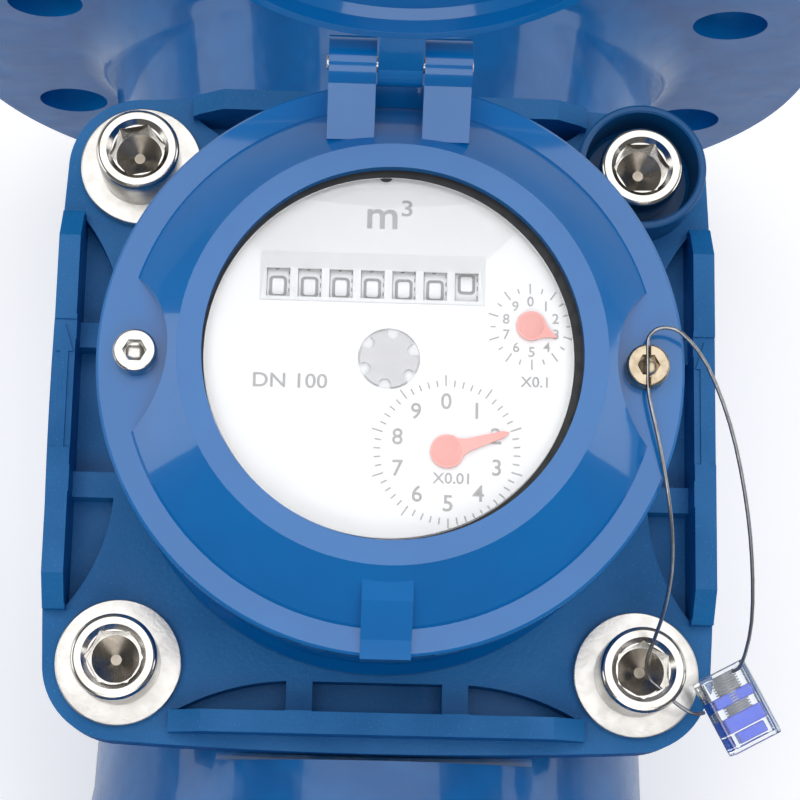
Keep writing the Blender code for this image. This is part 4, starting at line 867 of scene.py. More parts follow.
KEPT_NODES: tuple[tuple[str, Finish | ClearFinish, float], ...] = (
    ("cover_gasket", BLACK_RUBBER, 0.2),
    ("register_can", CAN_COPPER, 0.0),
    ("idler_wheel", MOVEMENT_GREY, 0.0),
    ("movement_lower_plate", MOVEMENT_GREY, 0.0),
    ("movement_upper_plate", MOVEMENT_GREY, 0.0),
    ("drum_shaft", PLATED_STEEL, 0.0),
    ("follower_magnet", MAGNET_DARK, 0.0),
    ("insert_frame", INSERT_GREY, 0.3),
    ("drive_gearbox", INSERT_GREY, 0.0),
    ("drive_magnet", MAGNET_DARK, 0.0),
    ("flow_straightener", INSERT_GREY, 0.3),
    ("rear_bearing", INSERT_GREY, 0.3),
    ("turbine_rotor", ROTOR_WHITE, 0.3),
)


@dataclass(frozen=True)
class Register:
    """Sealed register under the glass: dial plate, prints, drums, star and pointers.

    Attributes:
        bench: Where the pieces are made.
        middle: Middle of the dial.
        top: Height of the dial plate's face.
        plate_r: Radius of the dial plate.
        lean: Turn of the prints on the dial, in degrees.
        drum_r: Radius of a number drum.
        drum_half: Half of a drum's width.
        drum_x: Middle of the units drum from the dial's middle.
        drum_y: Drum row from the dial's middle.
        drum_axis: Height of the drum shaft.
        pitch: Distance between drums.
        window: Half width and half height of a number window.
        tenths: Hub of the tenths pointer from the dial's middle.
        hundredths: Hub of the hundredths pointer from the dial's middle.
    """

    bench: Bench
    middle: Pair = (-0.7, -0.6)
    top: float = 231.4
    plate_r: float = 38.1
    lean: float = 1.7
    drum_r: float = 6.2
    drum_half: float = 2.75
    drum_x: float = 14.8
    drum_y: float = 14.85
    drum_axis: float = 223.6
    pitch: float = 6.1
    window: Pair = (2.3, 2.85)
    tenths: Pair = (27.4, 7.2)
    hundredths: Pair = (11.5, -18.0)

    def build(self) -> None:
        """Makes every piece of the register."""
        self._plate()
        self._prints()
        self._star()
        for index in range(7):
            self._drum(index)
        self._pointer("pointer_hundredths", "hundredths", self.hundredths, 3.25, 18.5,
                      ((3.0, 1.75), (4.2, 1.25), (7.0, 1.0), (10.3, 0.72), (11.2, 0.66), (12.5, 0.06)))
        self._pointer("pointer_tenths", "tenths", self.tenths, 2.9, -23.5,
                      ((2.3, 1.75), (3.1, 1.15), (3.9, 0.75), (5.5, 0.06)))
        self._glass()

    def _at(self, x: float, y: float, z: float = 0.0) -> Point:
        """Returns a dial position in the frame."""
        return (self.middle[0] + x, self.middle[1] + y, z)

    def _windows(self, low: float, high: float) -> list[bmesh.types.BMesh]:
        """Returns a cutter for each number window."""
        made, (w, h) = [], self.window
        for i in range(7):
            x, y, _ = self._at(self.drum_x - self.pitch * i, self.drum_y)
            made.append(box_mesh((x - w, y - h, low), (x + w, y + h, high)))
        return made

    def _plate(self) -> None:
        """Makes the dial plate, its number panel, whose grey is partly painted shade of its recess, and the
        pale floor under the star.
        """
        x0, x1 = self.drum_x - 6.0 * self.pitch - 3.7, self.drum_x + 3.7
        y0, y1 = self.drum_y - 3.9, self.drum_y + 6.2
        floor = self.top - 0.45
        rim = [self._at(x, y, self.top + 0.05) for x, y in ((x0, y0), (x1, y0), (x1, y1), (x0, y1))]
        bed = [self._at(x, y, floor) for x, y in
               ((x0 + 0.4, y0 + 0.4), (x1 - 0.4, y0 + 0.4), (x1 - 1.0, y1 - 3.2), (x0 + 1.0, y1 - 3.2))]
        blank = rod_mesh(self.plate_r, self.top - 1.0, self.top, 128, centre=self._at(0.0, 0.0))
        cuts = [loft_mesh([bed, rim]), *self._windows(self.top - 3.0, self.top + 1.0)]
        cuts.append(rod_mesh(6.05, self.top - 3.0, self.top + 2.0, 64, centre=self._at(0.0, 0.0)))
        for hub in (self.tenths, self.hundredths):
            cuts.append(rod_mesh(0.9, self.top - 3.0, self.top + 2.0, 24, centre=self._at(*hub)))
        plate = carve(blank, cuts, "DIFFERENCE")
        self.bench.piece("dial_face", plate, "meter", DIAL_WHITE, Slot.DIAL, ("dial_plate",))
        ring = [(1.2, -1.9), (6.9, -1.9), (6.9, -1.05), (1.2, -1.05)]
        bed_plate = turned_mesh(ring, 64, centre=self._at(0.0, 0.0, self.top))
        self.bench.piece("star_floor", bed_plate, "meter", DIAL_WHITE, Slot.DIAL)
        # The panel and its slope are grey: the panel's own light grey with painted shade of the recess added.
        plan = [self._at(x, y)[:2] for x, y in
                ((x0 + 0.5, y0 + 0.45), (x1 - 0.5, y0 + 0.45), (x1 - 1.0, y1 - 3.3), (x0 + 1.0, y1 - 3.3))]
        panel = prism_mesh(plan, floor + 0.01, floor + 0.06)
        panel = carve(panel, self._windows(floor - 1.0, floor + 1.0), "DIFFERENCE")
        bank = ((x0 + 1.0, y1 - 3.15, floor), (x1 - 1.0, y1 - 3.15, floor),
                (x1 - 0.15, y1 - 0.15, self.top - 0.01), (x0 + 0.15, y1 - 0.15, self.top - 0.01))
        slope = loft_mesh([[self._at(x, y, z + lift) for x, y, z in bank] for lift in (0.02, 0.06)])
        self.bench.piece("number_panel", gather([panel, slope]), "meter", PANEL_GREY_AND_SHADE, Slot.DIAL)

    def _scale(self, hub: Pair, ticks: int, long: Pair, short: Pair, width: float, digits_r: float,
               digit_h: float) -> list[bmesh.types.BMesh]:
        """Draws one round scale.

        Args:
            hub: Its middle from the dial's middle.
            ticks: Number of ticks.
            long: Inner and outer radius of the ticks at the digits.
            short: Inner and outer radius of the ticks between.
            width: Width of a tick.
            digits_r: Radius of the ring of digits.
            digit_h: Height of the digits.

        Returns:
            The marks.
        """
        made = []
        for i in range(ticks):
            inner, outer = long if i * 10 % ticks == 0 else short
            angle = 90.0 + self.lean - 360.0 * i / ticks
            bar = box_mesh((inner, -width / 2.0, -PRINT_T / 2.0), (outer, width / 2.0, PRINT_T / 2.0))
            made.append(placed(bar, self._at(*hub, self.top + PRINT_T), angle))
        for digit in range(10):
            x, y = polar(digits_r, 90.0 + self.lean - 36.0 * digit, hub)
            made.append(word_mesh(str(digit), self._at(x, y, self.top + PRINT_T), digit_h))
        return made

    def _prints(self) -> None:
        """Prints the unit, the size, both scales and their factors on the dial."""
        z = self.top + PRINT_T
        marks = self._scale(self.tenths, 20, (6.6, 8.6), (6.9, 7.9), 0.3, 5.05, 2.0)
        marks += self._scale(self.hundredths, 50, (12.9, 15.1), (12.8, 14.1), 0.3, 9.95, 3.2)
        for text, x, y, height, width in (("m", -1.9, 28.0, 4.0, 5.9), ("3", 2.9, 30.3, 3.3, 2.1),
                                          ("DN 100", -18.9, -4.8, 2.9, 14.3), ("X0.1", 28.1, -3.8, 2.1, 5.3),
                                          ("X0.01", 12.3, -23.1, 2.15, 7.0)):
            marks.append(word_mesh(text, self._at(x, y, z), height, width))
        self.bench.piece("dial_prints", gather(marks), "meter", PRINT_GREY, Slot.DIAL)
        tab = prism_mesh([self._at(*p)[:2] for p in arc(1.5, 180.0, 360.0, 16, (-1.4, 36.6))], 232.95, 232.98)
        self.bench.piece("dial_locating_mark", tab, "meter", BLACK_RUBBER, Slot.RUBBER)

    def _star(self) -> None:
        """Makes the low flow star over its own arbor and wheel."""
        outline = []
        for i in range(6):
            mid = 22.0 + 60.0 * i
            hollow = polar(5.05, mid)
            outline += arc(1.15, mid + 180.0 + 112.0, mid + 180.0 - 112.0, 14, hollow)
            outline += arc(5.6, mid + 14.5, mid + 45.5, 8)
        disc = prism_mesh([self._at(*p)[:2] for p in outline], self.top - 0.55, self.top - 0.15)
        whole = gather([below("flow_star", self.top - 1.2), disc])
        piece = self.bench.piece("low_flow_star", whole, "star", STAR_GREY, Slot.STAR, ("flow_star",))
        soften(piece, 0.05, 50.0, 2)

    def _wrap(self, bm: bmesh.types.BMesh, x: float, arc_y: float) -> bmesh.types.BMesh:
        """Bends flat marks round a drum.

        Args:
            bm: Marks in the XY plane round the origin.
            x: Middle of the drum in the frame.
            arc_y: Distance round the drum from its top.

        Returns:
            The same mesh.
        """
        for k in range(-4, 5):
            geom = bm.verts[:] + bm.edges[:] + bm.faces[:]
            bmesh.ops.bisect_plane(bm, geom=geom, plane_co=(0.0, k * 0.5, 0.0), plane_no=(0.0, 1.0, 0.0))
        for v in bm.verts:
            a = (v.co.y + arc_y) / self.drum_r
            r = self.drum_r + 0.03 + v.co.z
            y = self.middle[1] + self.drum_y + r * math.sin(a)
            v.co = (x + v.co.x, y, self.drum_axis + r * math.cos(a))
        return bm

    def _nought(self) -> bmesh.types.BMesh:
        """Draws the tall rounded nought of the drums."""
        bm = bmesh.new()
        outer = [bm.verts.new((x, y, 0.0)) for x, y in round_box(1.72, 2.15, 0.9, 6)]
        inner = [bm.verts.new((x, y, 0.0)) for x, y in round_box(1.12, 1.55, 0.45, 6)]
        count = len(outer)
        for i in range(count):
            j = (i + 1) % count
            bm.faces.new((outer[i], outer[j], inner[j], inner[i]))
        return bm

    def _drum(self, index: int) -> None:
        """Makes one number drum and its digits; the units drum has index 0.

        Args:
            index: Place in the row, from the right.
        """
        x = self.middle[0] + self.drum_x - self.pitch * index
        body = "units" if index == 0 else "drum_%d" % (7 - index)
        centre = (x, self.middle[1] + self.drum_y, self.drum_axis)
        half, r = self.drum_half, self.drum_r
        profile = [(1.6, -half), (r - 0.15, -half), (r, -half + 0.15), (r, half - 0.15), (r - 0.15, half),
                   (1.6, half)]
        drum = turned_mesh(profile, 96, Axis.X, centre)
        node = "number_drum_%d" % (7 - index)
        self.bench.piece("drum_%d" % (7 - index), drum, body, DRUM_WHITE, Slot.DRUM, (node,))
        shift = 0.95 if index == 0 else -0.62
        marks = [self._wrap(self._nought(), x, shift)]
        around = 2.0 * math.pi * r
        nought_h, gap = 4.1, 1.1
        step = (around - nought_h - 2.0 * gap) / 9.0
        for digit in range(1, 10):
            glyph = word_mesh(str(digit), (0.0, 0.0, 0.0), 3.0, 1.1 if digit == 1 else 2.2)
            marks.append(self._wrap(glyph, x, shift - (nought_h / 2.0 + gap + step * (digit - 0.5))))
        for k in range(22):
            bar = box_mesh((2.0, -0.42, -0.01), (2.22, 0.42, 0.01))
            marks.append(self._wrap(bar, x, around * (k + 0.37 * index) / 22.0))
        for k in range(48):
            line = box_mesh((-2.22, -0.42, -0.01), (-2.1, 0.42, 0.01))
            marks.append(self._wrap(line, x, around * k / 48.0))
        self.bench.piece("drum_digits_%d" % (7 - index), gather(marks), body, DIGIT_GREY, Slot.DRUM)

    def _pointer(self, node: str, body: str, hub: Pair, disc_r: float, angle: float,
                 arm: Sequence[Pair]) -> None:
        """Makes one pointer over its own arbor and wheel.

        Args:
            node: Frame node that it stands for.
            body: Body that it rides on.
            hub: Its middle from the dial's middle.
            disc_r: Radius of its disc.
            angle: Where it points, in degrees.
            arm: (distance from the hub, half width) along the arm.
        """
        start = math.degrees(math.asin(arm[0][1] / disc_r))
        outline = arc(disc_r, start, 360.0 - start, 40)
        outline += [(reach, -half) for reach, half in arm[1:]]
        outline += [(reach, half) for reach, half in arm[:0:-1]]
        flat = placed(prism_mesh(outline, 0.0, 0.6), self._at(*hub, self.top + 0.35), angle)
        cap = rod_mesh(disc_r - 0.5, 0.55, 0.72, 48, centre=self._at(*hub, self.top + 0.35), rounding=0.08)
        whole = gather([below(node, self.top + 0.2), flat, cap])
        name = node.replace("pointer_", "hand_")
        made = self.bench.piece(name, whole, body, POINTER_RED, Slot.POINTER, (node,))
        soften(made, 0.1, 50.0, 2)

    def _glass(self) -> None:
        """Makes the stepped glass and the black gasket over its rim."""
        centre = self._at(0.0, 0.0)
        glass = [(0.0, 233.0), (38.9, 233.0), (39.0, 233.1), (39.0, 234.0), (38.9, 234.1), (35.7, 234.1)]
        glass += soft_corner(35.7, 235.5, 0.35, -1.0) + [(0.0, 235.5)]
        disc = turned_mesh(glass, 160, centre=centre)
        self.bench.piece("watch_glass", disc, "meter", WINDOW_GLASS, Slot.GLASS, ("window_glass",))
        seal = [(35.82, 234.12), (39.0, 234.12), (39.0, 234.78), (35.95, 234.78), (35.82, 234.65)]
        gasket = turned_mesh(seal, 160, centre=centre)
        self.bench.piece("glass_gasket", gasket, "meter", BLACK_RUBBER, Slot.RUBBER, ("window_gasket",))


@dataclass(frozen=True)
class Head:
    """Register housing, clamp ring, lid, hinge pin and the ring's two screws.

    Attributes:
        bench: Where the pieces are made.
        ring_z: Height of the ring's flange.
        bezel_z: Height of the bezel's flat.
        pin: (y, z) of the hinge pin.
        screw_x: Distance of the ring screws from the middle.
    """

    bench: Bench
    ring_z: float = 227.0
    bezel_z: float = 237.0
    pin: Pair = (57.0, 239.4)
    screw_x: float = 50.0

    def build(self) -> None:
        """Makes every piece of the head."""
        self._ring()
        self._housing()
        self._lid()
        pin = rod_mesh(1.6, -14.4, 14.4, 48, Axis.X, (0.0, *self.pin), 0.35)
        self.bench.piece("lid_pin", pin, "meter", PLATED_STEEL, Slot.BOLT, ("hinge_pin",))
        self._screw("left", -1.0, PLATED_STEEL)
        self._screw("right", 1.0, CHAMPAGNE_STEEL)

    def _screw_holes(self, radius: float, low: float, high: float) -> list[bmesh.types.BMesh]:
        """Returns cutters for the two ring screws."""
        return [rod_mesh(radius, low, high, 40, centre=(s * self.screw_x, 0.0, 0.0)) for s in (-1.0, 1.0)]

    def _pin_hole(self) -> bmesh.types.BMesh:
        """Returns the cutter for the hinge pin."""
        return rod_mesh(PIN_HOLE_R, -30.0, 30.0, 40, Axis.X, (0.0, *self.pin))

    def _ring(self) -> None:
        """Makes the clamp ring with its bezel, screw pockets, latch and hinge ears."""
        z, bezel = self.ring_z, self.bezel_z
        profile = [(40.9, 223.0), (57.4, 223.0), (57.8, 223.4), (57.8, z - 0.5), (57.3, z), (52.6, z),
                   (52.1, z + 0.8), (46.0, bezel - 3.6), (43.4, bezel - 1.5), (41.6, bezel), (36.8, bezel),
                   (36.8, bezel - 2.2), (40.9, bezel - 2.2)]
        ring = turned_mesh(profile, 192)
        pockets = [rod_mesh(21.0, z, z + 20.0, 128, centre=(s * 64.4, 0.0, 0.0)) for s in (-1.0, 1.0)]
        ring = carve(ring, pockets, "DIFFERENCE")
        latch = [(-42.8, z - 1.0), (-42.8, 235.1), (-47.9, 233.8), (-54.8, 229.2), (-58.4, 228.2),
                 (-58.4, 223.6), (-55.8, 223.6)]
        y, pz = self.pin
        ear = [(42.8, z - 1.0), (42.8, 235.1), (y - 5.0, pz + 2.2), *arc(5.4, 140.0, -10.0, 18, self.pin),
               (y + 4.2, 224.0), (y - 3.0, 224.0)]
        adds = [side_mesh(latch, -4.9, 4.9), side_mesh(ear, -14.0, -4.7), side_mesh(ear, 4.7, 14.0)]
        ring = carve(ring, adds, "UNION")
        cuts = [self._pin_hole(), *self._screw_holes(2.7, 219.0, 231.0)]
        made = self.bench.piece("head_ring", carve(ring, cuts, "DIFFERENCE"), "meter", HEAD_ENAMEL, Slot.HEAD,
                                ("clamp_ring",))
        soften(made, 0.45)

    def _housing(self) -> None:
        """Makes the round housing under the ring."""
        profile = [(22.0, 174.55), (56.4, 174.55), (56.4, 177.55), (54.4, 180.05), (55.2, 198.55),
                   (56.0, 216.95), (56.6, 220.95), (56.6, 222.95), (52.8, 222.95), (52.8, 183.5),
                   (17.5, 183.5), (17.5, 181.7), (22.0, 181.7)]
        lugs = [box_mesh((min(s * 45.0, s * 53.8), -5.0, 206.95), (max(s * 45.0, s * 53.8), 5.0, 222.949))
                for s in (-1.0, 1.0)]
        shell = carve(turned_mesh(profile, 192), lugs, "UNION")
        shell = carve(shell, self._screw_holes(2.56, 210.9, 226.0), "DIFFERENCE")
        made = self.bench.piece("head_housing", shell, "meter", HOUSING_ENAMEL, Slot.HEAD,
                                ("register_housing",))
        soften(made, 0.4)

    def _lid(self) -> None:
        """Makes the shallow dished lid with its knuckle and tab, standing open as in the frame."""
        profile = [(43.8, 237.3), (45.7, 237.3), (46.0, 237.7), (45.6, 241.9), (44.9, 243.2), (43.6, 243.8),
                   (25.3, 245.4), (0.0, 246.0), (0.0, 243.8), (25.3, 243.2), (42.2, 241.9), (43.8, 240.3)]
        y, z = self.pin
        knuckle = [(44.4, 237.9), (44.4, 242.7), (y - 3.0, z + 4.2), *arc(4.4, 110.0, -130.0, 24, self.pin)]
        tab = [(-44.8, 237.7), (-44.8, 241.3), (-49.6, 239.7), (-50.6, 237.7)]
        adds = [side_mesh(knuckle, -4.4, 4.4), side_mesh(tab, -4.6, 4.6)]
        lid = carve(turned_mesh(profile, 192), adds, "UNION")
        lid = carve(lid, [self._pin_hole()], "DIFFERENCE")
        bmesh.ops.translate(lid, verts=lid.verts, vec=(0.0, -y, -z))
        placed(lid, (0.0, y, z), -105.0, Axis.X)
        soften(self.bench.piece("head_lid", lid, "lid", HEAD_ENAMEL, Slot.HEAD, ("lid",)), 0.4)

    def _screw(self, name: str, side: float, finish: Finish) -> None:
        """Makes a small socket screw of the ring.

        Args:
            name: left or right.
            side: -1 or 1.
            finish: Its finish.
        """
        seat = self.ring_z + 0.01
        top = seat + 4.2
        x = side * self.screw_x
        profile = [(0.0, 213.0), (2.1, 213.0), (2.44, 213.4), (2.44, seat), (4.1, seat), (4.25, seat + 0.15),
                   (4.25, top - 0.6), *arc(0.6, 0.0, 90.0, 5, (3.65, top - 0.6)), (0.0, top)]
        cuts = hex_cutters(4.0, top, 2.2, (x, 0.0), 0.0)
        if side > 0.0:
            cuts.append(rod_mesh(0.85, -8.0, 8.0, 24, Axis.Y, (x, 0.0, top - 1.55)))
            cuts.append(box_mesh((x - 0.5, -5.0, top - 1.6), (x + 0.5, 5.0, top + 1.0)))
        screw = carve(turned_mesh(profile, 72, centre=(x, 0.0, 0.0)), cuts, "DIFFERENCE")
        made = self.bench.piece("head_screw_" + name, screw, "meter", finish, Slot.BOLT,
                                ("ring_screw_" + name,))
        soften(made, 0.12)


def hex_cutters(flats: float, top: float, depth: float, centre: Pair,
                turn: float) -> list[bmesh.types.BMesh]:
    """Makes the cutters of a hexagon socket with a drill's conical bottom.

    Args:
        flats: Width across the flats.
        top: Height of the socket's mouth.
        depth: Depth of the flats.
        centre: Middle of the socket.
        turn: Turn of its corners in degrees.

    Returns:
        The hexagon and the cone.
    """
    corners = [polar(flats / math.sqrt(3.0), turn + 60.0 * i, centre) for i in range(6)]
    r, z = 0.47 * flats, top - depth
    cone = turned_mesh([(0.0, z - 0.5 * r), (r, z), (r, z + 0.3), (0.0, z + 0.3)], 64, centre=(*centre, 0.0))
    return [prism_mesh(corners, z, top + 3.0), cone]


@dataclass(frozen=True)
class CoverBolt:
    """A socket cap bolt of the cover and the washer under it.

    Attributes:
        corner: Name of its corner.
        place: Its axis in plan.
        seat: Height that its head stands on.
        turn: Turn of its socket in degrees.
        washer: Whether a washer lies under it.
        drilled: Whether the seal wire passes through its head.
    """

    corner: str
    place: Pair
    seat: float
    turn: float
    washer: bool = True
    drilled: bool = False

    def build(self, bench: Bench) -> None:
        """Makes the bolt and its washer."""
        top, low = self.seat + 12.0, self.seat - 32.0
        profile = [(0.0, low), (5.0, low), (5.94, low + 1.0), (5.94, self.seat), (8.7, self.seat),
                   (9.0, self.seat + 0.3), (9.0, top - 1.1), *arc(1.1, 0.0, 90.0, 6, (7.9, top - 1.1)),
                   (6.75, top), (5.75, top - 1.0), (5.75, top - 1.2), (0.0, top - 1.2)]
        bm = turned_mesh(profile, 96, centre=(*self.place, 0.0))
        flats, depth = 10.6, 5.6
        cuts = hex_cutters(flats, top, depth, self.place, self.turn)
        if self.drilled:
            drill = rod_mesh(1.0, 0.0, 14.0, 24)
            aim = Vector((0.74, -0.67, 0.0)).normalized()
            turn = Vector((0.0, 0.0, 1.0)).rotation_difference(aim).to_matrix().to_4x4()
            matrix = Matrix.Translation((*self.place, top - 4.0)) @ turn
            bmesh.ops.transform(drill, matrix=matrix, verts=drill.verts)
            cuts.append(drill)
        made = bench.piece("cap_bolt_" + self.corner, carve(bm, cuts, "DIFFERENCE"), "meter", PLATED_STEEL,
                           Slot.BOLT, ("cover_bolt_" + self.corner,))
        soften(made, 0.15)
        # A darker steel liner in the socket's bottom: painted shade in the deep hex socket of a plated bolt.
        z, r = top - depth, 0.47 * flats
        floor = [(0.0, z - 0.36 * r), (1.15, z - 0.36 * r), (r - 0.05, z + 0.06), (r - 0.05, z - 0.05),
                 (1.15, z - 0.36 * r - 0.1), (0.0, z - 0.36 * r - 0.1)]
        bench.piece("shaded_socket_floor_" + self.corner, turned_mesh(floor, 64, centre=(*self.place, 0.0)), "meter",
                    SOCKET_SHADE_STEEL, Slot.BOLT)
        if self.washer:
            ring = [(6.5, 174.51), (13.2, 174.51), (13.4, 174.7), (13.4, 176.6),
                    *arc(0.4, 0.0, 90.0, 4, (13.0, 176.6)), (6.9, 177.0), (6.5, 176.7)]
            washer = turned_mesh(ring, 128, centre=(*self.place, 0.0))
            bench.piece("flat_washer_" + self.corner, washer, "meter", WASHER_STEEL, Slot.BOLT,
                        ("washer_" + self.corner,))


@dataclass(frozen=True)
class Castings:
    """Meter body, cover plate and the cup round the rear right bolt.

    Attributes:
        bench: Where the pieces are made.
        axis_z: Height of the pipe axis.
        cover_z: Height of the cover's face.
        half_length: Half of the length between the flange faces.
        bolt: Distance of a cover bolt from the middle along X and Y.
    """

    bench: Bench
    axis_z: float = 107.0
    cover_z: float = 174.5
    half_length: float = 125.0
    bolt: float = 55.0

    def build(self) -> None:
        """Makes the castings."""
        self._body()
        self._cover()
        cup = [(6.4, 174.51), (13.6, 174.51), (14.2, 187.0), (14.1, 187.5), (13.7, 187.71), (12.9, 187.71),
               (12.5, 187.4), (12.1, 176.6), (11.4, 175.91), (6.4, 175.91)]
        made = turned_mesh(cup, 128, centre=(self.bolt, self.bolt, 0.0))
        self.bench.piece("sealing_cup", made, "meter", CUP_ENAMEL, Slot.HEAD, ("seal_cup",))

    def _bolt_holes(self, radius: float, low: float, high: float) -> list[bmesh.types.BMesh]:
        """Returns cutters for the four cover bolts."""
        return [rod_mesh(radius, low, high, 32, centre=(sx * self.bolt, sy * self.bolt, 0.0))
                for sx in (-1.0, 1.0) for sy in (-1.0, 1.0)]

    def _body(self) -> None:
        """Makes the cast body: barrel, flanges, chamber and cover seat."""
        half, centre = self.half_length, (0.0, 0.0, self.axis_z)
        inner = half - 18.0
        side = [(0.0, half), (78.6, half), (79.0, half - 0.3), (79.6, half - 2.0), (109.0, half - 2.0),
                (110.0, half - 3.0), (110.0, inner + 1.0), (109.0, inner)]
        side += [(79.0 - x, inner - 11.0 + y) for x, y in arc(11.0, 90.0, 0.0, 12)]
        side += [(65.0, inner - 29.0), (64.0, 52.0)]
        bm = turned_mesh(side + [(r, -y) for r, y in reversed(side)], 160, Axis.Y, centre)
        sections = []
        for dz, shrink, corner in ((-54.0, 36.0, 35.0), (-42.0, 22.0, 43.0), (-20.0, 7.0, 45.0),
                                   (6.0, 1.0, 29.0), (24.0, 0.0, 15.0), (58.0, 0.0, 15.0)):
            outline = rounded_square(67.5 - shrink, min(corner, 65.5 - shrink))
            sections.append([(x, y, self.axis_z + dz) for x, y in outline])
        bm = carve(bm, [loft_mesh(sections)], "UNION")
        bore = rod_mesh(50.0, -half - 5.0, half + 5.0, 128, Axis.Y, centre)
        chamber = turned_mesh([(0.0, 85.0), (46.0, 85.0), (58.0, 107.0), (58.0, 167.0), (0.0, 167.0)], 128)
        cuts = [bore, chamber, prism_mesh(rounded_square(74.0, 21.5), 162.0, 226.0)]
        for i in range(8):
            x, z = polar(90.0, 22.5 + 45.0 * i, (0.0, self.axis_z))
            cuts += [rod_mesh(9.05, -18.0, 18.0, 48, Axis.Y, (x, s * (half - 9.0), z)) for s in (-1.0, 1.0)]
        cuts += self._bolt_holes(6.06, self.cover_z - 34.0, 167.0)
        cuts.append(box_mesh((-110.5, -half - 5.0, -20.0), (110.5, half + 5.0, 0.0)))
        made = self.bench.piece("cast_body", carve(bm, cuts, "DIFFERENCE"), "meter", BODY_ENAMEL, Slot.BODY,
                                ("meter_body",))
        soften(made, 0.8)

    def _rib_pockets(self, rib_inner: float) -> list[bmesh.types.BMesh]:
        """Returns cutters for the recesses inside the rib on +X."""
        first, ends, flat = self.bolt + 2.8, 43.0, 17.0
        deep, run = rib_inner - first, ends - flat
        radius = (run * run + deep * deep) / (2.0 * deep)
        z0, z1 = self.cover_z - 6.0, self.cover_z + 10.0
        made = [box_mesh((first, -13.8, z0), (rib_inner, 13.8, z1))]
        for s in (-1.0, 1.0):
            points = []
            for i in range(25):
                y = 19.4 + (ends - 19.4) * i / 24.0
                over = max(0.0, y - flat)
                bow = radius - math.sqrt(radius * radius - over * over)
                points.append((min(first + bow, rib_inner), s * y))
            made.append(prism_mesh([*points, (rib_inner, s * 19.4)], z0, z1))
        return made

    def _arrow(self, inner: float, sign: float) -> list[bmesh.types.BMesh]:
        """Returns cutters that leave a flow arrow standing on a rib."""
        mid, made = inner + 2.4, []
        for s in (-1.0, 1.0):
            edge, past = mid + s * 3.4, sign * 18.2
            points = [(mid + s * 0.9, sign * -10.0), (edge, sign * -10.0), (edge, past),
                      (mid - s * 0.2, past), (mid, sign * 17.0), (mid + s * 1.9, sign * 11.0),
                      (mid + s * 0.9, sign * 11.0)]
            made.append(prism_mesh(points, self.cover_z + 7.5, self.cover_z + 12.0))
        return made

    def _cover(self) -> None:
        """Makes the square cover plate with its ribs, pockets and arrows."""
        top = self.cover_z
        bm = prism_mesh(rounded_square(71.3, 16.3, 1.5), 164.0, top)
        dome = [(0.0, top - 3.0), (16.0, top - 3.0), (14.0, top + 6.5), (0.0, top + 6.5)]
        spigot = [(53.7, 156.0), (57.7, 156.0), (57.7, 166.0), (53.7, 166.0)]
        adds, cuts = [turned_mesh(dome, 96), turned_mesh(spigot, 128)], []
        for k in range(4):
            outer = 71.6 if k < 3 else 69.4
            inner = outer - 4.8
            rib = [(-44.0, top - 4.0), (44.0, top - 4.0), (44.0, top + 3.0), (37.0, top + 8.0),
                   (-37.0, top + 8.0), (-44.0, top + 3.0)]
            adds.append(placed(side_mesh(rib, inner, outer), (0.0, 0.0, 0.0), 90.0 * k))
            shapes = self._rib_pockets(inner + 0.15)
            if k in (0, 2):
                shapes += self._arrow(inner, 1.0 - k)
            cuts += [placed(shape, (0.0, 0.0, 0.0), 90.0 * k) for shape in shapes]
        cuts.append(rod_mesh(9.6, 144.0, top + 4.7, 64))
        cuts += self._bolt_holes(6.6, 159.0, top + 5.0)
        plate = carve(carve(bm, adds, "UNION"), cuts, "DIFFERENCE")
        soften(self.bench.piece("top_cover", plate, "meter", COVER_ENAMEL, Slot.COVER, ("cover_plate",)), 0.6)


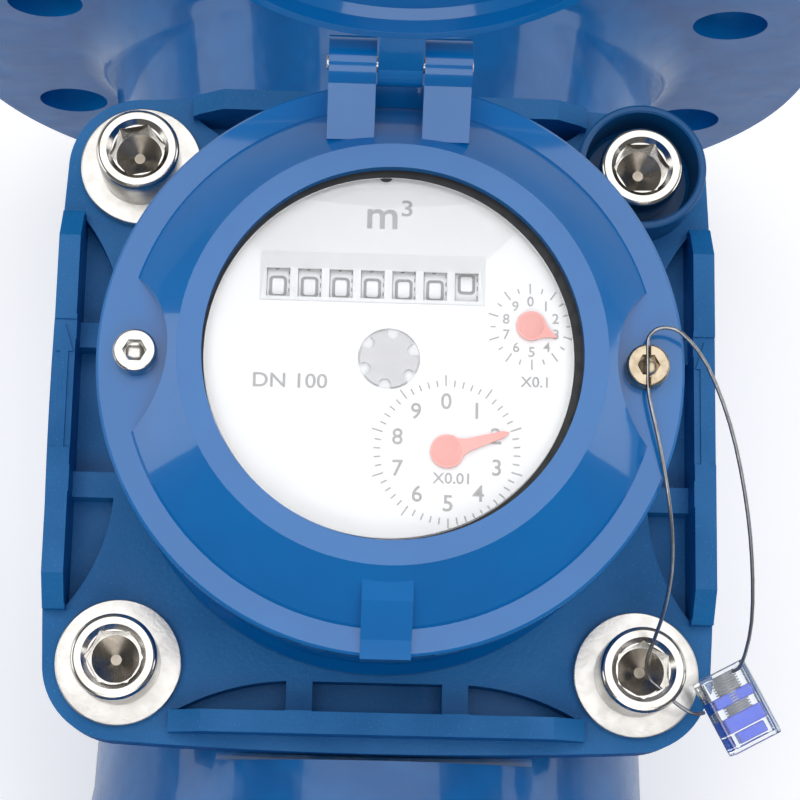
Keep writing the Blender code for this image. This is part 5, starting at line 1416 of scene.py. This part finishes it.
@dataclass(frozen=True)
class TamperSeal:
    """Steel wire and the clear seal with its barrel and blue winder.

    Attributes:
        bench: Where the pieces are made.
        middle: Middle of the seal.
        turn: Turn of the seal about Z in degrees.
        half: Half of its length, width and thickness.
        wire: Diameter of the wire.
        zero: Height that the route is measured from.
        route: Points that the wire passes.
    """

    bench: Bench
    middle: Point = (75.2, -62.0, 183.5)
    turn: float = -62.0
    half: Point = (8.5, 5.5, 3.8)
    wire: float = 0.8
    zero: float = 174.5
    route: tuple[Point, ...] = (
        (73.6, -54.9, 13.6), (75.0, -53.4, 17.0), (75.4, -46.0, 26.0), (74.0, -34.2, 34.5),
        (71.4, -22.0, 41.5), (67.4, -9.5, 48.0), (62.0, 1.0, 53.4), (56.6, 6.6, 56.2), (52.6, 7.6, 56.2),
        (50.3, 6.0, 55.4), (50.0, 3.4, 55.16), (50.0, 0.0, 55.16), (50.0, -3.4, 55.16), (50.4, -7.0, 55.3),
        (52.0, -14.0, 55.0), (54.0, -23.0, 52.8), (55.8, -31.0, 47.6), (57.0, -38.0, 39.0),
        (57.0, -44.5, 29.0), (56.2, -49.5, 20.5), (55.6, -53.2, 14.0), (56.6, -56.4, 10.9),
        (59.0, -58.6, 10.5), (61.7, -61.07, 10.5), (64.6, -63.0, 10.4), (66.6, -63.6, 9.8),
        (68.4, -63.2, 9.2),
    )

    def build(self) -> None:
        """Makes the seal first and then the wire that carries it."""
        pieces = [self._block(), self._winder()]
        self._wire()

    def _put(self, bm: bmesh.types.BMesh) -> bmesh.types.BMesh:
        """Moves a mesh from the seal's own place to the frame."""
        return placed(bm, self.middle, self.turn)

    def _block(self) -> bpy.types.Object:
        """Makes the clear case, hollow with thin walls."""
        length, width, thick = self.half
        room = (length - 0.9, width - 0.8, thick - 0.7)
        hollow = box_mesh((-room[0], -room[1], -room[2]), room)
        case = carve(box_mesh((-length, -width, -thick), (length, width, thick)), [hollow], "DIFFERENCE")
        made = self.bench.piece("seal_block", self._put(case), "meter", SEAL_CLEAR, Slot.SEAL, ("seal_body",))
        return soften(made, 0.45)

    def _winder(self) -> bpy.types.Object:
        """Makes the ribbed barrel and the blue winder's two blocks on it."""
        ribs = [(0.0, -7.4), (2.2, -7.4), (2.2, -6.6)]
        for k in range(13):
            x = -6.5 + 0.6 * k
            ribs += [(3.0, x), (3.0, x + 0.3), (2.5, x + 0.35), (2.5, x + 0.55)]
        barrel = turned_mesh([*ribs, (2.0, 1.6), (0.0, 1.6)], 40, Axis.X)
        self.bench.piece("seal_barrel", self._put(barrel), "meter", BARREL_GREY, Slot.SEAL)
        blocks = []
        for start, end, wide in ((-3.5, -1.1, 4.3), (1.0, 4.3, 4.3), (4.6, 7.0, 3.2)):
            hole = rod_mesh(1.2, start - 1.0, end + 1.0, 24, Axis.X)
            blocks.append(carve(box_mesh((start, -wide, -2.9), (end, wide, 2.9)), [hole], "DIFFERENCE"))
        core = self.bench.piece("seal_core", self._put(gather(blocks)), "meter", WINDER_BLUE, Slot.WINDER,
                                ("seal_winder",))
        return soften(core, 0.25)

    def _line(self) -> list[Vector]:
        """Returns the route as a smooth line, with three steps from point to point."""
        points = [Vector((x, y, self.zero + z)) for x, y, z in self.route]
        out, last = [], len(points) - 1
        for i in range(last):
            p0, p1, p2, p3 = points[max(0, i - 1)], points[i], points[i + 1], points[min(last, i + 2)]
            for k in range(3):
                t = k / 3.0
                out.append(0.5 * (2.0 * p1 + (p2 - p0) * t + (2.0 * p0 - 5.0 * p1 + 4.0 * p2 - p3) * t * t
                                  + (3.0 * p1 - p0 - 3.0 * p2 + p3) * t ** 3))
        return out + [points[last]]

    def _wire(self) -> None:
        """Lays the wire through the screw, into the bolt's socket and back to the seal."""
        line = [p * MM for p in self._line()]
        curve = bpy.data.curves.new("sealing_wire", "CURVE")
        curve.dimensions = "3D"
        curve.bevel_depth = self.wire / 2.0 * MM
        curve.bevel_resolution = 4
        curve.use_fill_caps = True
        spline = curve.splines.new("POLY")
        spline.points.add(len(line) - 1)
        for place, p in zip(spline.points, line):
            place.co = (*p, 1.0)
        spline.use_smooth = True
        wire = bpy.data.objects.new("sealing_wire", curve)
        bpy.context.scene.collection.objects.link(wire)
        self.bench.finishes.dress(wire, WIRE_STEEL)
        self.bench.fit(wire, "meter", Slot.WIRE, ("seal_wire",))


COVER_BOLTS = (CoverBolt("front_left", (-55.0, -55.0), 177.01, 0.0),
               CoverBolt("front_right", (55.0, -55.0), 177.01, 30.0, drilled=True),
               CoverBolt("rear_left", (-55.0, 55.0), 177.01, 12.0),
               CoverBolt("rear_right", (55.0, 55.0), 175.93, 2.0, washer=False))


@dataclass(frozen=True)
class Lamp:
    """A soft area lamp.

    Attributes:
        name: Name of the lamp.
        place: Position in metres.
        target: Point that it looks at, in metres.
        size: Width and height in metres.
        radiance: Brightness of its face.
    """

    name: str
    place: Point
    target: Point
    size: Pair
    radiance: float

    def build(self) -> bpy.types.Object:
        """Makes the lamp.

        Returns:
            The lamp's object.
        """
        data = bpy.data.lights.new(self.name, "AREA")
        data.shape = "RECTANGLE"
        data.size, data.size_y = self.size
        data.energy = self.radiance * math.pi * self.size[0] * self.size[1]
        obj = bpy.data.objects.new(self.name, data)
        obj.location = self.place
        aim = Vector(self.target) - Vector(self.place)
        obj.rotation_euler = aim.to_track_quat("-Z", "Y").to_euler()
        obj.visible_camera = False
        bpy.context.scene.collection.objects.link(obj)
        return obj


@dataclass(frozen=True)
class Studio:
    """Floor, lamps, world and camera.

    Attributes:
        eye: Camera position in metres.
        turn: Camera rotation in degrees about X, Y and Z.
        lens: Focal length for a 36 mm sensor.
        lamps: The lamps.
        floor_tone: Colour of the floor.
        floor_glow: Brightness that the floor adds to camera rays and to rays through clear parts.
        world_level: Strength of the world's light on the object.
        mirror_level: Strength of the world in mirror images.
    """

    eye: Point = (-0.012714, -0.104010, 0.664047)
    turn: tuple[float, float, float] = (12.396, -2.163, 1.199)
    lens: float = 103.157
    lamps: tuple[Lamp, ...] = (
        Lamp("overhead_box", (0.0, 0.30, 1.55), (0.0, 0.0, 0.2), (1.5, 1.3), 1.75),
        Lamp("left_panel", (-1.05, 0.05, 0.50), (0.0, 0.0, 0.23), (0.75, 0.55), 1.7),
        Lamp("right_panel", (1.05, 0.10, 0.55), (0.0, 0.0, 0.23), (0.75, 0.55), 1.7),
        Lamp("front_box", (0.0, -0.98, 1.36), (0.0, 0.0, 0.2), (1.2, 0.7), 2.0),
    )
    floor_tone: float = 0.86
    floor_glow: float = 0.35
    world_level: float = 0.36
    mirror_level: float = 0.14

    def build(self) -> None:
        """Sets the whole stage."""
        for lamp in self.lamps:
            lamp.build()
        self._world()
        self._floor()
        self._camera()
        bpy.context.scene.view_settings.view_transform = "Standard"

    def _camera(self) -> None:
        """Places the camera where the photograph was taken from."""
        data = bpy.data.cameras.new("camera")
        data.sensor_width = 36.0
        data.lens = self.lens
        data.clip_start = 0.01
        data.clip_end = 50.0
        obj = bpy.data.objects.new("camera", data)
        obj.location = self.eye
        obj.rotation_euler = Euler([math.radians(a) for a in self.turn], "XYZ")
        bpy.context.scene.collection.objects.link(obj)
        bpy.context.scene.camera = obj

    def _world(self) -> None:
        """Makes a world that is white to the camera and soft on the object."""
        world = bpy.data.worlds.new("studio")
        bpy.context.scene.world = world
        world.use_nodes = True
        world.node_tree.nodes.clear()
        shop = NodeBench(world.node_tree)
        path = shop.node("ShaderNodeLightPath").outputs
        fresh = shop.math("LESS_THAN", path["Diffuse Depth"], 0.5)
        through = shop.math("MULTIPLY", path["Is Transmission Ray"], fresh)
        white = shop.math("MAXIMUM", path["Is Camera Ray"], through)
        lit = shop.blend(path["Is Glossy Ray"], shop.background(self.world_level),
                         shop.background(self.mirror_level))
        out = shop.node("ShaderNodeOutputWorld")
        shop.link(shop.blend(white, lit, shop.background(1.0)), out.inputs["Surface"])

    def _floor(self) -> None:
        """Lays a pale floor under the meter."""
        bpy.ops.mesh.primitive_plane_add(size=30.0, location=(0.0, 0.0, 0.0))
        floor = bpy.context.object
        floor.name = "floor"
        mat = bpy.data.materials.new("floor")
        mat.use_nodes = True
        shader = mat.node_tree.nodes["Principled BSDF"]
        shader.inputs["Base Color"].default_value = (*[self.floor_tone] * 3, 1.0)
        shader.inputs["Roughness"].default_value = 0.9
        shader.inputs["Specular IOR Level"].default_value = 0.1
        shop = NodeBench(mat.node_tree)
        path = shop.node("ShaderNodeLightPath").outputs
        seen = shop.math("MAXIMUM", path["Is Camera Ray"], path["Is Transmission Ray"])
        shader.inputs["Emission Color"].default_value = (1.0, 1.0, 1.0, 1.0)
        shop.link(shop.math("MULTIPLY", seen, self.floor_glow), shader.inputs["Emission Strength"])
        floor.data.materials.append(mat)


def main() -> None:
    """Builds the meter's looks and the stage."""
    logging.basicConfig(level=logging.INFO, format="%(name)s: %(message)s")
    bench = Bench(Finishes())
    for node, finish, bevel in KEPT_NODES:
        bench.keep(node, finish, bevel)
    Studio().build()
    TamperSeal(bench).build()
    Register(bench).build()
    Head(bench).build()
    for bolt in COVER_BOLTS:
        bolt.build(bench)
    Castings(bench).build()


if __name__ == "__main__":
    main()
